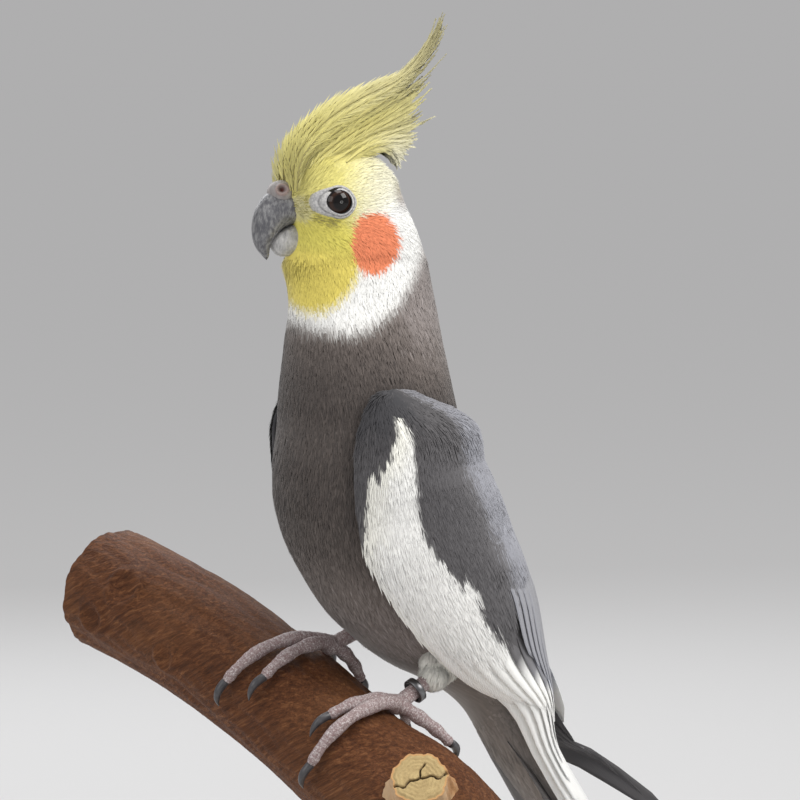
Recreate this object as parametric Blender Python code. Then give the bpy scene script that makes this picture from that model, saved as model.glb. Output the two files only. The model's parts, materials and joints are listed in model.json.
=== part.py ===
"""Cockatiel, adult male, normal grey: a life-size still model on a short cut length of branch.

Units here are millimetres; they become metres when a mesh is made. The bird faces -Y, its left side
is +X, +Z is up, and the origin is the centre of the underside of the display base.
"""
import math
import random

import bmesh
import bpy
from mathutils import Matrix, Vector

MM = 0.001
GAP = 0.3

# Display stand
BASE_RADIUS = 66.0
BASE_THICK = 12.0
BASE_EDGE = 1.5
BASE_SIDES = 56
ROD_RADIUS = 4.5
ROD_STATION = -2.0
ROD_SEAT = 8.0
ROD_SIDES = 24

# Branch: a shallow arc that falls towards the bird's left
BRANCH_HEADING = math.radians(14.0)
BRANCH_MIDDLE = (0.0, -17.7, 118.9)
BRANCH_FALL = 0.52
BRANCH_SAG = 0.0018
BRANCH_ENDS = (-90.0, 48.0)
BRANCH_RADII = (16.2, 15.6)
BRANCH_SIDES = 18
BRANCH_STEPS = 17
BARK_DEPTH = 0.9
SWELL_STATIONS = (5.0, 30.0)
SWELL = 2.4
STUB_STATION = 31.0
STUB_AIM = (0.695, -0.426, 0.578)
STUB_REACH = 24.9
STUB_RADIUS = 6.6

# Trunk sections, from the neck down: height, middle, half depth, half width, turn in degrees
NECK_RINGS = (
    (239.35, -12.5, 18.8, 13.7, 11.0),
    (230.0, -10.8, 19.2, 15.3, 7.0),
    (220.0, -10.3, 20.5, 18.0, 3.0),
    (209.15, -9.7, 22.2, 20.4, 0.0),
)
TORSO_RINGS = (
    (208.85, -9.7, 22.2, 20.4, 0.0),
    (200.0, -9.0, 23.4, 21.4, 0.0),
    (190.0, -8.9, 24.6, 22.0, 0.0),
    (180.0, -7.5, 25.7, 22.0, 0.0),
    (168.75, -3.8, 26.0, 21.2, 0.0),
    (155.0, 2.2, 23.9, 19.0, 0.0),
    (146.0, 8.0, 21.0, 16.4, 0.0),
    (138.75, 14.6, 17.7, 13.6, 0.0),
    (132.5, 22.3, 12.4, 11.4, 0.0),
    (126.15, 26.6, 8.4, 9.4, 0.0),
)
TAIL_BASE_RINGS = (
    (125.85, 26.8, 8.4, 9.4, 0.0),
    (115.0, 33.3, 7.4, 9.6, 0.0),
    (101.0, 42.4, 5.4, 9.4, 0.0),
    (90.0, 49.6, 3.6, 9.2, 0.0),
)
TRUNK_SIDES = 28

# Head sections in the head's own frame: height, front, back, half width
HEAD_PIVOT = (0.0, -12.5)
HEAD_TURN = 11.0
HEAD_CROWN = (-4.0, 268.2)
HEAD_RINGS = (
    (267.0, -10.0, 2.2, 5.0),
    (263.6, -15.8, 7.2, 8.6),
    (259.2, -19.0, 10.6, 10.8),
    (254.0, -18.9, 13.0, 12.1),
    (249.0, -17.2, 15.4, 13.0),
    (244.0, -17.4, 17.3, 13.6),
    (239.65, -18.8, 18.8, 13.8),
)

# Eyes and lids
EYE_PLACE = (8.7, -7.4, 255.0)
EYE_RADIUS = 4.1
LID_RING = 3.9
LID_THICK = 0.8
LID_OUT = 11.5

# Bill sections in the head's frame: ridge, inner line, half width
BILL_UPPER = (
    ((-17.0, 257.6), (-13.2, 250.3), 4.9),
    ((-22.1, 257.2), (-16.6, 249.2), 4.7),
    ((-25.0, 254.2), (-18.4, 248.5), 4.5),
    ((-26.4, 250.4), (-19.6, 247.6), 4.0),
    ((-26.5, 246.5), (-20.9, 246.0), 3.2),
    ((-25.5, 243.4), (-21.9, 244.2), 2.1),
    ((-23.0, 240.5), (-22.3, 241.7), 0.5),
)
BILL_LOWER = (
    ((-13.0, 249.0), (-13.4, 242.0), 3.4),
    ((-16.2, 249.2), (-17.2, 241.4), 3.5),
    ((-18.5, 248.4), (-19.6, 241.4), 3.3),
    ((-20.4, 247.0), (-21.0, 242.4), 2.6),
    ((-21.9, 245.6), (-22.0, 243.9), 1.2),
)
BILL_SIDES = 14
CERE_PLACE = (0.0, -19.2, 257.0)
CERE_SIZE = (4.7, 3.4, 3.2)
NOSTRIL_PLACE = (4.3, -20.1, 258.2)
NOSTRIL_RADIUS = 0.8
GAPE_PLACE = (5.2, -16.2, 248.3)

# Legs, feet and ring
TARSUS_RADIUS = 1.9
FOOT_RADIUS = 2.4
TOE_RADII = (1.9, 1.35)
TOE_TRACK = 18.3
CLAW_START = 4.6
CLAW_SWEEP = 17.0
CLAW_ARCH = 1.2
CLAW_DIP = 0.5
CLAW_RADII = (1.15, 1.0, 0.68, 0.2)
FEET = {
    "left": {
        "base": (7.0, -20.0),
        "ankle": (12.0, 5.0, 138.0),
        "thigh": (11.4, 5.4, 140.0),
        "toes": (("outer_front", 9.0, 80.0), ("inner_front", 4.2, 42.0),
                 ("outer_hind", 18.5, -50.0), ("inner_hind", 3.0, -66.0)),
    },
    "right": {
        "base": (-17.0, -20.0),
        "ankle": (-11.6, 2.0, 149.5),
        "thigh": (-11.6, -0.5, 147.0),
        "toes": (("outer_front", -24.0, 76.0), ("inner_front", -15.6, 54.0),
                 ("outer_hind", -25.0, -58.0), ("inner_hind", -13.0, -62.0)),
    },
}
THIGH_SIZE = (4.4, 6.0, 6.0)
TUFT_RADIUS = 3.2
RING_INNER = 2.5
RING_OUTER = 3.2
RING_LENGTH = 1.8
RING_TILT = (0.0, 0.22, 0.10)
RING_PLACE = 0.42

# Wing sheet, from the bend down: height, front edge, widest line, back edge
WING_ROWS = (
    (208.8, (20.3, -16.2), (21.4, -11.6), (19.2, -6.0)),
    (200.0, (20.2, -22.4), (24.4, -4.0), (9.5, 15.0)),
    (190.0, (20.6, -23.8), (25.4, -2.2), (5.2, 21.4)),
    (180.0, (20.6, -23.2), (25.4, 1.0), (3.9, 26.8)),
    (167.5, (21.0, -20.4), (24.4, 6.0), (3.5, 32.0)),
    (155.0, (20.0, -11.8), (22.2, 11.8), (3.2, 36.4)),
    (142.5, (18.2, 0.4), (19.0, 19.4), (3.0, 39.4)),
    (130.0, (15.4, 20.3), (15.0, 31.0), (3.4, 41.4)),
    (117.0, (13.4, 31.2), (12.6, 36.8), (5.0, 41.8)),
    (105.0, (12.2, 40.0), (11.4, 44.0), (6.4, 47.2)),
    (84.0, (7.0, 59.0), (7.0, 59.5), (6.8, 60.0)),
)
WING_SHELL = 2.2
SHELL_ROWS = 9
SHELL_ACROSS = 6
SHELL_END = 6.7
# How far each row of the far wing is moved back and up, and how far its bend stands forward
FAR_WING_BACK = (0.0, 0.0, 0.0, 0.0, 0.0, 0.0, 1.0, 5.0, 13.0, 20.0, 26.0)
FAR_WING_UP = (0.0, 0.0, 0.0, 0.0, 0.0, 0.0, -0.5, -1.5, -1.5, 3.5, 8.0)
FAR_WING_BEND = (0.0, 2.6, 2.6, 1.2, 0.0, 0.0, 0.0, 0.0, 0.0, 0.0, 0.0)

# Feather tiers of a wing: how many, root row, tip row, width, rise at the tip, spread across the sheet
WING_TIERS = (
    {"count": 5, "root": (5.6, 6.0), "tip": (9.9, 8.0), "across": (0.20, 0.80), "width": 6.6, "rise": 0.1},
    {"count": 7, "root": (4.2, 3.6), "tip": (6.9, 7.5), "across": (0.10, 0.90), "width": 7.6, "rise": 1.0},
    {"count": 7, "root": (2.4, 2.2), "tip": (5.3, 5.4), "across": (0.10, 0.90), "width": 7.6, "rise": 1.9},
    {"count": 7, "root": (1.0, 1.0), "tip": (3.3, 3.5), "across": (0.10, 0.90), "width": 7.2, "rise": 2.8},
)
VANE_THICK = 0.6
VANE_AIR = 0.35
MOST_ROLL = math.radians(26.0)
ROLL_EXTRA = 1.25
VANE_SHAPE = ((0.0, 0.55), (0.35, 0.95), (0.78, 0.92), (1.0, 0.22))
CREST_SHAPE = ((0.0, 0.6), (0.28, 1.0), (0.55, 0.95), (0.8, 0.7), (1.0, 0.25))

# Tail: feathers in pairs from the middle out, each pair shorter and lower
TAIL_ROOT = (0.0, 30.6, 120.6)
TAIL_TIP = (0.0, 108.0, 8.5)
TAIL_PAIRS = 6
TAIL_STEP = 0.115
TAIL_HALF_WIDTH = 4.6
TAIL_SPACING = 0.9
TAIL_SPREAD = 2.5
TAIL_TOP = 2.2
TAIL_SHORTER = 0.93
TAIL_CURVE = (0.55, 0.12)
TAIL_FAN = 0.12

# Crest: columns of feathers rising in tiers from the crown, in the head's frame
CREST_TIERS = 8
CREST_LINES = (
    ((-20.6, 260.4), (-11.4, 274.6), (2.9, 282.6), (14.8, 288.6), (21.8, 301.4)),
    ((-12.0, 265.0), (-4.0, 270.6), (5.0, 275.0), (12.6, 278.8), (19.6, 284.0)),
    ((2.0, 266.4), (5.6, 269.4), (8.8, 269.2), (11.4, 268.0), (13.6, 266.4)),
)
CREST_SCATTER = (1.0, 0.8)
CREST_WIDTH = (4.2, 3.4)
CREST_COLUMN = 2.9
CREST_THICK = 0.5
CREST_CAP = (7.6, 14.0, 9.5)
CREST_CAP_PLACE = (0.0, -6.0, 267.0)
CREST_CAP_THICK = 1.6

SEED = 7

# Colour, roughness and metallic value of each kind of surface, by the start of a node's name
LOOKS = {
    "stand": ((0.72, 0.66, 0.58), 0.45, 0.0),
    "branch": ((0.33, 0.22, 0.14), 0.75, 0.0),
    "torso": ((0.30, 0.29, 0.28), 0.8, 0.0),
    "neck": ((0.28, 0.27, 0.26), 0.8, 0.0),
    "head": ((0.86, 0.80, 0.45), 0.8, 0.0),
    "crest": ((0.86, 0.80, 0.30), 0.8, 0.0),
    "wing": ((0.34, 0.34, 0.35), 0.7, 0.0),
    "tail": ((0.45, 0.44, 0.43), 0.7, 0.0),
    "eye": ((0.04, 0.03, 0.02), 0.05, 0.0),
    "bill": ((0.20, 0.21, 0.24), 0.35, 0.0),
    "cere": ((0.50, 0.42, 0.41), 0.5, 0.0),
    "foot": ((0.56, 0.47, 0.45), 0.6, 0.0),
    "leg_ring": ((0.20, 0.20, 0.22), 0.35, 1.0),
    "leg": ((0.70, 0.68, 0.62), 0.8, 0.0),
    "claw": ((0.12, 0.12, 0.13), 0.35, 0.0),
}


# Mesh helpers


def clear():
    for ob in list(bpy.data.objects):
        bpy.data.objects.remove(ob, do_unlink=True)
    for group in list(bpy.data.collections):
        bpy.data.collections.remove(group)


def make(name, points, faces):
    """A new object from points in millimetres, with its faces turned outwards."""
    mesh = bpy.data.meshes.new(name)
    mesh.from_pydata([Vector(p) * MM for p in points], [], faces)
    work = bmesh.new()
    work.from_mesh(mesh)
    bmesh.ops.recalc_face_normals(work, faces=work.faces)
    if work.calc_volume(signed=True) < 0.0:
        bmesh.ops.reverse_faces(work, faces=work.faces)
    work.to_mesh(mesh)
    work.free()
    ob = bpy.data.objects.new(name, mesh)
    bpy.context.scene.collection.objects.link(ob)
    return ob


def loft(name, rings, top=None, bottom=None):
    """A closed skin over rings of equal count; a pole point may close either end."""
    count = len(rings[0])
    points = [p for ring in rings for p in ring]
    faces = []
    for r in range(len(rings) - 1):
        for k in range(count):
            after = (k + 1) % count
            faces.append((r * count + k, r * count + after,
                          (r + 1) * count + after, (r + 1) * count + k))
    for pole, first in ((top, 0), (bottom, (len(rings) - 1) * count)):
        loop = [first + k for k in range(count)]
        if pole is None:
            faces.append(loop if first else loop[::-1])
        else:
            points.append(pole)
            faces += [(loop[k], loop[(k + 1) % count], len(points) - 1) for k in range(count)]
    return make(name, points, faces)


def tube(name, path, radii, sides, squash=1.0):
    """A tapering tube along a path of points."""
    path = [Vector(p) for p in path]
    rings = []
    side = None
    for k, centre in enumerate(path):
        along = (path[min(k + 1, len(path) - 1)] - path[max(k - 1, 0)]).normalized()
        if side is None:
            side = along.orthogonal().normalized()
        side = (side - along * side.dot(along)).normalized()
        other = along.cross(side)
        rings.append([centre + (side * math.cos(a) + other * math.sin(a) * squash) * radii[k]
                      for a in (math.tau * j / sides for j in range(sides))])
    return loft(name, rings)


def ball(name, centre, size, turn=None, segments=16, rows=10):
    """An ellipsoid with half sizes along its own axes."""
    turn = turn or Matrix.Identity(3)
    size = Vector(size)
    centre = Vector(centre)
    rings = []
    for r in range(1, rows):
        up = math.pi * r / rows
        rings.append([centre + turn @ Vector((size.x * math.sin(up) * math.cos(a),
                                              size.y * math.sin(up) * math.sin(a),
                                              size.z * math.cos(up)))
                      for a in (math.tau * j / segments for j in range(segments))])
    return loft(name, rings, centre + turn @ Vector((0, 0, size.z)), centre - turn @ Vector((0, 0, size.z)))


def torus(name, centre, ring, thick, turn, sides=20, around=6):
    points = []
    faces = []
    for i in range(sides):
        a = math.tau * i / sides
        for j in range(around):
            b = math.tau * j / around
            reach = ring + thick * math.cos(b)
            points.append(Vector(centre) + turn @ Vector((reach * math.cos(a), reach * math.sin(a),
                                                          thick * math.sin(b))))
            faces.append((i * around + j, ((i + 1) % sides) * around + j,
                          ((i + 1) % sides) * around + (j + 1) % around, i * around + (j + 1) % around))
    return make(name, points, faces)


def apply_boolean(ob, operation, others, solver="MANIFOLD"):
    """One Boolean of an object with others, applied, and the others removed."""
    group = bpy.data.collections.new(ob.name + "_tools")
    bpy.context.scene.collection.children.link(group)
    for other in others:
        for users in list(other.users_collection):
            users.objects.unlink(other)
        group.objects.link(other)
    step = ob.modifiers.new("cut", "BOOLEAN")
    step.operation = operation
    step.operand_type = "COLLECTION"
    step.collection = group
    step.solver = solver
    graph = bpy.context.evaluated_depsgraph_get()
    result = bpy.data.meshes.new_from_object(ob.evaluated_get(graph))
    old = ob.data
    ob.modifiers.clear()
    ob.data = result
    bpy.data.meshes.remove(old)
    for other in list(group.objects):
        bpy.data.objects.remove(other, do_unlink=True)
    bpy.data.collections.remove(group)


def union(ob, others, solver="MANIFOLD"):
    apply_boolean(ob, "UNION", others, solver)


def subtract(ob, others, solver="MANIFOLD"):
    apply_boolean(ob, "DIFFERENCE", others, solver)


def keep_largest(ob):
    """Keeps the closed surface with the most volume and drops loose crumbs."""
    work = bmesh.new()
    work.from_mesh(ob.data)
    left = set(work.faces)
    shells = []
    while left:
        shell = set()
        front = [left.pop()]
        while front:
            face = front.pop()
            shell.add(face)
            for edge in face.edges:
                for other in edge.link_faces:
                    if other in left:
                        left.remove(other)
                        front.append(other)
        shells.append(shell)

    def size(shell):
        total = 0.0
        for face in shell:
            first = face.verts[0].co
            for a, b in zip(face.verts[1:-1], face.verts[2:]):
                total += first.dot(a.co.cross(b.co))
        return total

    shells.sort(key=size, reverse=True)
    loose = [face for shell in shells[1:] for face in shell]
    if loose:
        bmesh.ops.delete(work, geom=loose, context="FACES")
    bmesh.ops.triangulate(work, faces=work.faces)
    work.to_mesh(ob.data)
    work.free()


# Frames


def head_point(x, s, z):
    """From the head's own frame, s running back, to the model's frame."""
    turn = math.radians(HEAD_TURN)
    return Vector((HEAD_PIVOT[0] + x * math.cos(turn) + s * math.sin(turn),
                   HEAD_PIVOT[1] - x * math.sin(turn) + s * math.cos(turn), z))


def head_turn():
    return Matrix.Rotation(-math.radians(HEAD_TURN), 3, "Z")


def oval(count, power=2.2):
    """Unit points round a rounded section, starting at the front."""
    for k in range(count):
        a = math.tau * k / count
        x = math.sin(a)
        y = -math.cos(a)
        yield (math.copysign(abs(x) ** (2.0 / power), x), math.copysign(abs(y) ** (2.0 / power), y))


def trunk_ring(height, middle, depth, width, turn, grow=0.0):
    turn = math.radians(turn)
    ring = []
    for x, y in oval(TRUNK_SIDES):
        x *= width + grow
        y *= depth + grow
        ring.append((x * math.cos(turn) + y * math.sin(turn),
                     middle - x * math.sin(turn) + y * math.cos(turn), height))
    return ring


def trunk(name, rows, grow=0.0, stretch=0.0):
    rings = [trunk_ring(*row, grow=grow) for row in rows]
    if stretch:
        top = [(x, y, z + stretch) for x, y, z in rings[0]]
        low = [(x, y, z - stretch) for x, y, z in rings[-1]]
        rings = [top] + rings + [low]
    return loft(name, rings)


def head_skin(name, grow=0.0):
    rings = []
    for height, front, back, width in HEAD_RINGS:
        middle = (front + back) / 2.0
        depth = (back - front) / 2.0 + grow
        rings.append([head_point(x * (width + grow), middle + y * depth, height)
                      for x, y in oval(TRUNK_SIDES, 2.1)])
    if grow:
        rings.append([p - Vector((0, 0, 1.0)) for p in rings[-1]])
    crown = head_point(0.0, HEAD_CROWN[0], HEAD_CROWN[1] + grow)
    return loft(name, rings, crown, None)


# Head parts


def bill_part(name, rows, grow=0.0):
    rings = []
    for outer, inner, width in rows:
        outer = Vector(outer)
        inner = Vector(inner)
        middle = (outer + inner) / 2.0
        reach = (outer - inner) / 2.0
        reach = reach * (1.0 + grow / reach.length)
        ring = []
        for k in range(BILL_SIDES):
            a = math.tau * k / BILL_SIDES
            at = middle + reach * math.cos(a)
            ring.append(head_point((width + grow) * math.sin(a), at.x, at.y))
        rings.append(ring)
    return loft(name, rings)


def side_turn(sign):
    """Turns a flat ring so that it faces sideways from the head."""
    return head_turn() @ Matrix.Rotation(sign * math.pi / 2.0, 3, "Y")


def build_head():
    head = head_skin("head")
    lids = []
    sockets = []
    for sign in (1, -1):
        x, s, z = EYE_PLACE
        lids.append(torus("lid", head_point(sign * LID_OUT, s, z), LID_RING, LID_THICK, side_turn(sign)))
        sockets.append(ball("socket", head_point(sign * x, s, z), [EYE_RADIUS + GAP] * 3))
        gape = ball("gape", head_point(sign * GAPE_PLACE[0], GAPE_PLACE[1], GAPE_PLACE[2]), (1.2, 2.6, 0.45),
                    head_turn() @ Matrix.Rotation(math.radians(-18), 3, "X"), 12, 6)
        sockets.append(gape)
    union(head, lids)
    subtract(head, sockets)
    keep_largest(head)
    for sign, side in ((1, "left"), (-1, "right")):
        x, s, z = EYE_PLACE
        ball("eye_" + side, head_point(sign * x, s, z), [EYE_RADIUS] * 3, side_turn(sign), 18, 10)


def build_bill():
    upper = bill_part("bill_upper", BILL_UPPER)
    subtract(upper, [head_skin("cut", GAP)])
    keep_largest(upper)
    lower = bill_part("bill_lower", BILL_LOWER)
    subtract(lower, [head_skin("cut", GAP), bill_part("cut", BILL_UPPER, GAP)])
    keep_largest(lower)
    cere = ball("cere", head_point(*CERE_PLACE), CERE_SIZE, head_turn(), 18, 10)
    cuts = [head_skin("cut", GAP), bill_part("cut", BILL_UPPER, GAP)]
    for sign in (1, -1):
        x, s, z = NOSTRIL_PLACE
        cuts.append(ball("cut", head_point(sign * x, s, z), [NOSTRIL_RADIUS] * 3, None, 10, 6))
    subtract(cere, cuts)
    keep_largest(cere)


# Feathers


def vane(name, path, side, lift, width, thick, shape=VANE_SHAPE):
    """One closed feather blade: a path of points, a sideways and an upward direction at each."""
    points = []
    for k, (_, part) in enumerate(shape):
        half = width * part / 2.0
        height = thick / 2.0
        across = Vector(side[k])
        up = Vector(lift[k])
        centre = Vector(path[k])
        points += [centre - across * half + up * height, centre + up * (height + 0.12 * thick),
                   centre + across * half + up * height, centre + across * half - up * height,
                   centre - up * (height - 0.12 * thick), centre - across * half - up * height]
    faces = []
    last = len(shape) - 1
    for r in range(last):
        for k in range(6):
            a = r * 6 + k
            b = r * 6 + (k + 1) % 6
            c = a + 6
            d = b + 6
            if k in (0, 3):
                faces += [(a, b, d), (a, d, c)]
            else:
                faces += [(a, b, c), (b, d, c)]
    for first in (0, last * 6):
        a, b, c, d, e, f = (first + k for k in range(6))
        faces += [(a, b, f), (b, e, f), (b, c, d), (b, d, e)]
    return make(name, points, faces)


def spline(values, at):
    """Smooth interpolation through a list of vectors at a fractional place."""
    at = max(0.0, min(at, len(values) - 1.0))
    low = min(int(at), len(values) - 2)
    t = at - low
    p0 = values[max(low - 1, 0)]
    p1 = values[low]
    p2 = values[low + 1]
    p3 = values[min(low + 2, len(values) - 1)]
    return (p1 * 2.0 + (p2 - p0) * t + (p0 * 2.0 - p1 * 5.0 + p2 * 4.0 - p3) * t * t
            + (p1 * 3.0 - p0 - p2 * 3.0 + p3) * t * t * t) / 2.0


def wing_lines(sign):
    lines = ([], [], [])
    for k, (height, *columns) in enumerate(WING_ROWS):
        far = 1.0 if sign < 0 else 0.0
        for column, (x, y) in enumerate(columns):
            bend = FAR_WING_BEND[k] * far * (1.0 - column / 2.0)
            lines[column].append(Vector((sign * (x + bend / 3.0), y + far * FAR_WING_BACK[k] - bend,
                                         height + far * FAR_WING_UP[k])))
    return lines


def wing_point(lines, row, across, rise=0.0):
    """A place on the wing sheet: row counts down it, across runs from its front to its back edge."""
    def at(row, across):
        lead, crown, trail = (spline(line, row) for line in lines)
        pull = crown * 2.0 - (lead + trail) / 2.0
        return lead * (1 - across) ** 2 + pull * 2 * across * (1 - across) + trail * across ** 2
    here = at(row, across)
    down = at(min(row + 0.05, 9.99), across) - at(min(row, 9.9) - 0.05, across)
    back = at(row, across + 0.02) - at(row, across - 0.02)
    out = down.cross(back) if lines[0][0].x > 0 else back.cross(down)
    out = out.normalized()
    return here + out * rise, out


def build_wing(side, sign):
    lines = wing_lines(sign)
    outer = []
    inner = []
    for r in range(SHELL_ROWS):
        row = SHELL_END * r / (SHELL_ROWS - 1)
        thin = 0.5 if r == 0 else 1.0
        for c in range(SHELL_ACROSS):
            across = c / (SHELL_ACROSS - 1)
            outer.append(wing_point(lines, row, across)[0])
            inner.append(wing_point(lines, row, across, -WING_SHELL * thin)[0])
    count = len(outer)
    faces = []
    for r in range(SHELL_ROWS - 1):
        for c in range(SHELL_ACROSS - 1):
            a = r * SHELL_ACROSS + c
            b = a + 1
            d = a + SHELL_ACROSS
            e = d + 1
            faces += [(a, b, e), (a, e, d), (count + a, count + e, count + b), (count + a, count + d, count + e)]
    edge = [r * SHELL_ACROSS for r in range(SHELL_ROWS)]
    rim = (list(range(SHELL_ACROSS)) + [r * SHELL_ACROSS + SHELL_ACROSS - 1 for r in range(1, SHELL_ROWS)]
           + [(SHELL_ROWS - 1) * SHELL_ACROSS + c for c in range(SHELL_ACROSS - 2, -1, -1)] + edge[-2:0:-1])
    for k, a in enumerate(rim):
        b = rim[(k + 1) % len(rim)]
        faces.append((a, count + a, count + b, b))
    wing = make("wing_" + side, outer + inner, faces)
    union(wing, wing_feathers(lines, sign))
    subtract(wing, [trunk("cut", TORSO_RINGS, GAP, 0.3)])
    subtract(wing, [trunk("cut", NECK_RINGS, GAP, 0.2)])
    keep_largest(wing)


def wing_feathers(lines, sign):
    rng = random.Random(SEED + sign)
    made = []
    for tier in WING_TIERS:
        count = tier["count"]
        spacing = (tier["across"][1] - tier["across"][0]) / (count - 1)
        for k in range(count):
            part = k / (count - 1)
            across = tier["across"][0] + (tier["across"][1] - tier["across"][0]) * part
            root = tier["root"][0] + (tier["root"][1] - tier["root"][0]) * part
            tip = tier["tip"][0] + (tier["tip"][1] - tier["tip"][0]) * part + rng.uniform(-0.12, 0.12)
            path = []
            sides = []
            lifts = []
            for t, _ in VANE_SHAPE:
                row = root + (tip - root) * t
                rise = -1.1 + (tier["rise"] + 1.1) * min(1.0, t / 0.35)
                at, out = wing_point(lines, row, across, rise)
                ahead = wing_point(lines, min(row + 0.1, 9.98), across, rise)[0]
                along = (ahead - wing_point(lines, row - 0.1, across, rise)[0]).normalized()
                over = out.cross(along).normalized() * (-sign)
                beside = wing_point(lines, row, across + spacing, rise)[0] - at
                roll = min(MOST_ROLL, math.atan(ROLL_EXTRA * (VANE_THICK + VANE_AIR) / beside.length))
                path.append(at)
                sides.append(over * math.cos(roll) + out * math.sin(roll))
                lifts.append(out * math.cos(roll) - over * math.sin(roll))
            made.append(vane("feather", path, sides, lifts, tier["width"], VANE_THICK))
    return made


def build_tail():
    tail = trunk("tail", TAIL_BASE_RINGS)
    root = Vector(TAIL_ROOT)
    tip = Vector(TAIL_TIP)
    along = (tip - root).normalized()
    across = Vector((1, 0, 0))
    over = across.cross(along).normalized()
    if over.y < 0:
        over = -over
    length = (tip - root).length
    pitch = VANE_THICK + VANE_AIR
    made = []
    layer = 0
    for pair in range(TAIL_PAIRS):
        for sign in (1, -1):
            reach = length * (1.0 - TAIL_STEP * pair * (TAIL_CURVE[0] + TAIL_CURVE[1] * pair))
            if pair > 0:
                reach *= TAIL_SHORTER
            start = TAIL_SPACING * (pair + 0.5)
            end = TAIL_SPREAD * (pair + 0.35)
            path = []
            for t, _ in VANE_SHAPE:
                drop = over * (TAIL_TOP - pitch * layer - (1.0 - t) * TAIL_FAN * layer)
                path.append(root + along * (reach * t) + drop
                            + across * sign * (start + (end - start) * t * t))
            made.append(vane("feather", path, [across] * 4, [over] * 4, TAIL_HALF_WIDTH * 2.0, VANE_THICK))
            if pair < 2 or sign < 0:
                layer += 1
    union(tail, made)
    keep_largest(tail)


def build_crest():
    rng = random.Random(SEED)
    crest = head_skin("crest", GAP + CREST_CAP_THICK)
    patch = ball("patch", head_point(*CREST_CAP_PLACE), CREST_CAP, head_turn(), 20, 8)
    apply_boolean(crest, "INTERSECT", [patch])
    made = []
    for column in (0, 1, -1):
        tiers = CREST_TIERS if column == 0 else CREST_TIERS - 2
        for k in range(tiers):
            part = (k + (0.5 if column else 0.0)) / (CREST_TIERS - 1)
            curve = [spline([Vector(p) for p in places], 2.0 * part) for places in zip(*CREST_LINES)]
            curve[-1] += Vector((rng.uniform(-1.0, 1.0) * CREST_SCATTER[0], rng.uniform(-1.0, 1.0) * CREST_SCATTER[1]))
            path = []
            sides = []
            lifts = []
            for t, _ in CREST_SHAPE:
                at = spline(curve, 4.0 * t)
                step = spline(curve, 4.0 * t + 0.08) - spline(curve, 4.0 * t - 0.08)
                step.normalize()
                spread = column * CREST_COLUMN * (1.0 + 0.25 * t)
                path.append(head_point(spread, at.x, at.y))
                sides.append(head_turn() @ Vector((1, 0, 0)))
                lifts.append(head_turn() @ Vector((0, -step.y, step.x)))
            width = CREST_WIDTH[0] + (CREST_WIDTH[1] - CREST_WIDTH[0]) * part
            made.append(vane("feather", path, sides, lifts, width, CREST_THICK, CREST_SHAPE))
    union(crest, made)
    subtract(crest, [head_skin("cut", GAP)])
    keep_largest(crest)


# Branch


def branch_frame(h, radius=0.0, angle=0.0):
    """A point at a distance h along the branch, at an angle from its top towards the front."""
    heading = Vector((math.cos(BRANCH_HEADING), math.sin(BRANCH_HEADING), 0.0))
    centre = Vector(BRANCH_MIDDLE) + heading * h
    centre.z -= BRANCH_FALL * h + BRANCH_SAG * h * h
    along = (heading - Vector((0, 0, BRANCH_FALL + 2 * BRANCH_SAG * h))).normalized()
    front = Vector((heading.y, -heading.x, 0.0))
    up = front.cross(along)
    if up.z < 0:
        up = -up
    angle = math.radians(angle)
    out = up * math.cos(angle) + front * math.sin(angle)
    return centre + up * branch_swell(h) + out * (radius + branch_swell(h))


def branch_swell(h):
    """How much thicker the branch is near the stub; the swelling stands up on its top."""
    part = max(0.0, min(1.0, (h - SWELL_STATIONS[0]) / (SWELL_STATIONS[1] - SWELL_STATIONS[0])))
    return SWELL * part * part * (3.0 - 2.0 * part)


def branch_radius(h):
    part = (h - BRANCH_ENDS[0]) / (BRANCH_ENDS[1] - BRANCH_ENDS[0])
    return BRANCH_RADII[0] + (BRANCH_RADII[1] - BRANCH_RADII[0]) * part


def build_branch():
    rng = random.Random(SEED)
    rings = []
    for k in range(BRANCH_STEPS):
        h = BRANCH_ENDS[0] + (BRANCH_ENDS[1] - BRANCH_ENDS[0]) * k / (BRANCH_STEPS - 1)
        ring = []
        for j in range(BRANCH_SIDES):
            groove = BARK_DEPTH * (0.5 + 0.5 * math.sin(j * 2.4 + 0.15 * h)) * rng.uniform(0.3, 1.0)
            ring.append(branch_frame(h, branch_radius(h) - groove, 360.0 * j / BRANCH_SIDES))
        rings.append(ring)
    branch = loft("branch", rings)
    foot = branch_frame(STUB_STATION, -branch_swell(STUB_STATION))
    aim = Vector(STUB_AIM).normalized()
    stub = tube("stub", [foot, foot + aim * STUB_REACH * 0.7, foot + aim * STUB_REACH],
                [STUB_RADIUS * 1.35, STUB_RADIUS * 1.08, STUB_RADIUS], 16)
    union(branch, [stub])
    subtract(branch, [rod("cut", GAP)])
    keep_largest(branch)


def rod(name, grow=0.0):
    top = branch_frame(ROD_STATION)
    seat = top.z - branch_radius(ROD_STATION) + ROD_SEAT + grow
    low = BASE_THICK - ROD_SEAT - grow
    return tube(name, [(top.x, top.y, low), (top.x, top.y, seat)], [ROD_RADIUS + grow] * 2, ROD_SIDES)


def build_stand():
    rings = []
    for radius, height in ((BASE_RADIUS, 0.0), (BASE_RADIUS, BASE_THICK - BASE_EDGE),
                           (BASE_RADIUS - BASE_EDGE, BASE_THICK)):
        rings.append([(radius * math.cos(a), radius * math.sin(a), height)
                      for a in (math.tau * j / BASE_SIDES for j in range(BASE_SIDES))])
    base = loft("stand_base", rings)
    subtract(base, [rod("cut", GAP)])
    keep_largest(base)
    rod("stand_rod")


# Legs


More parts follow.
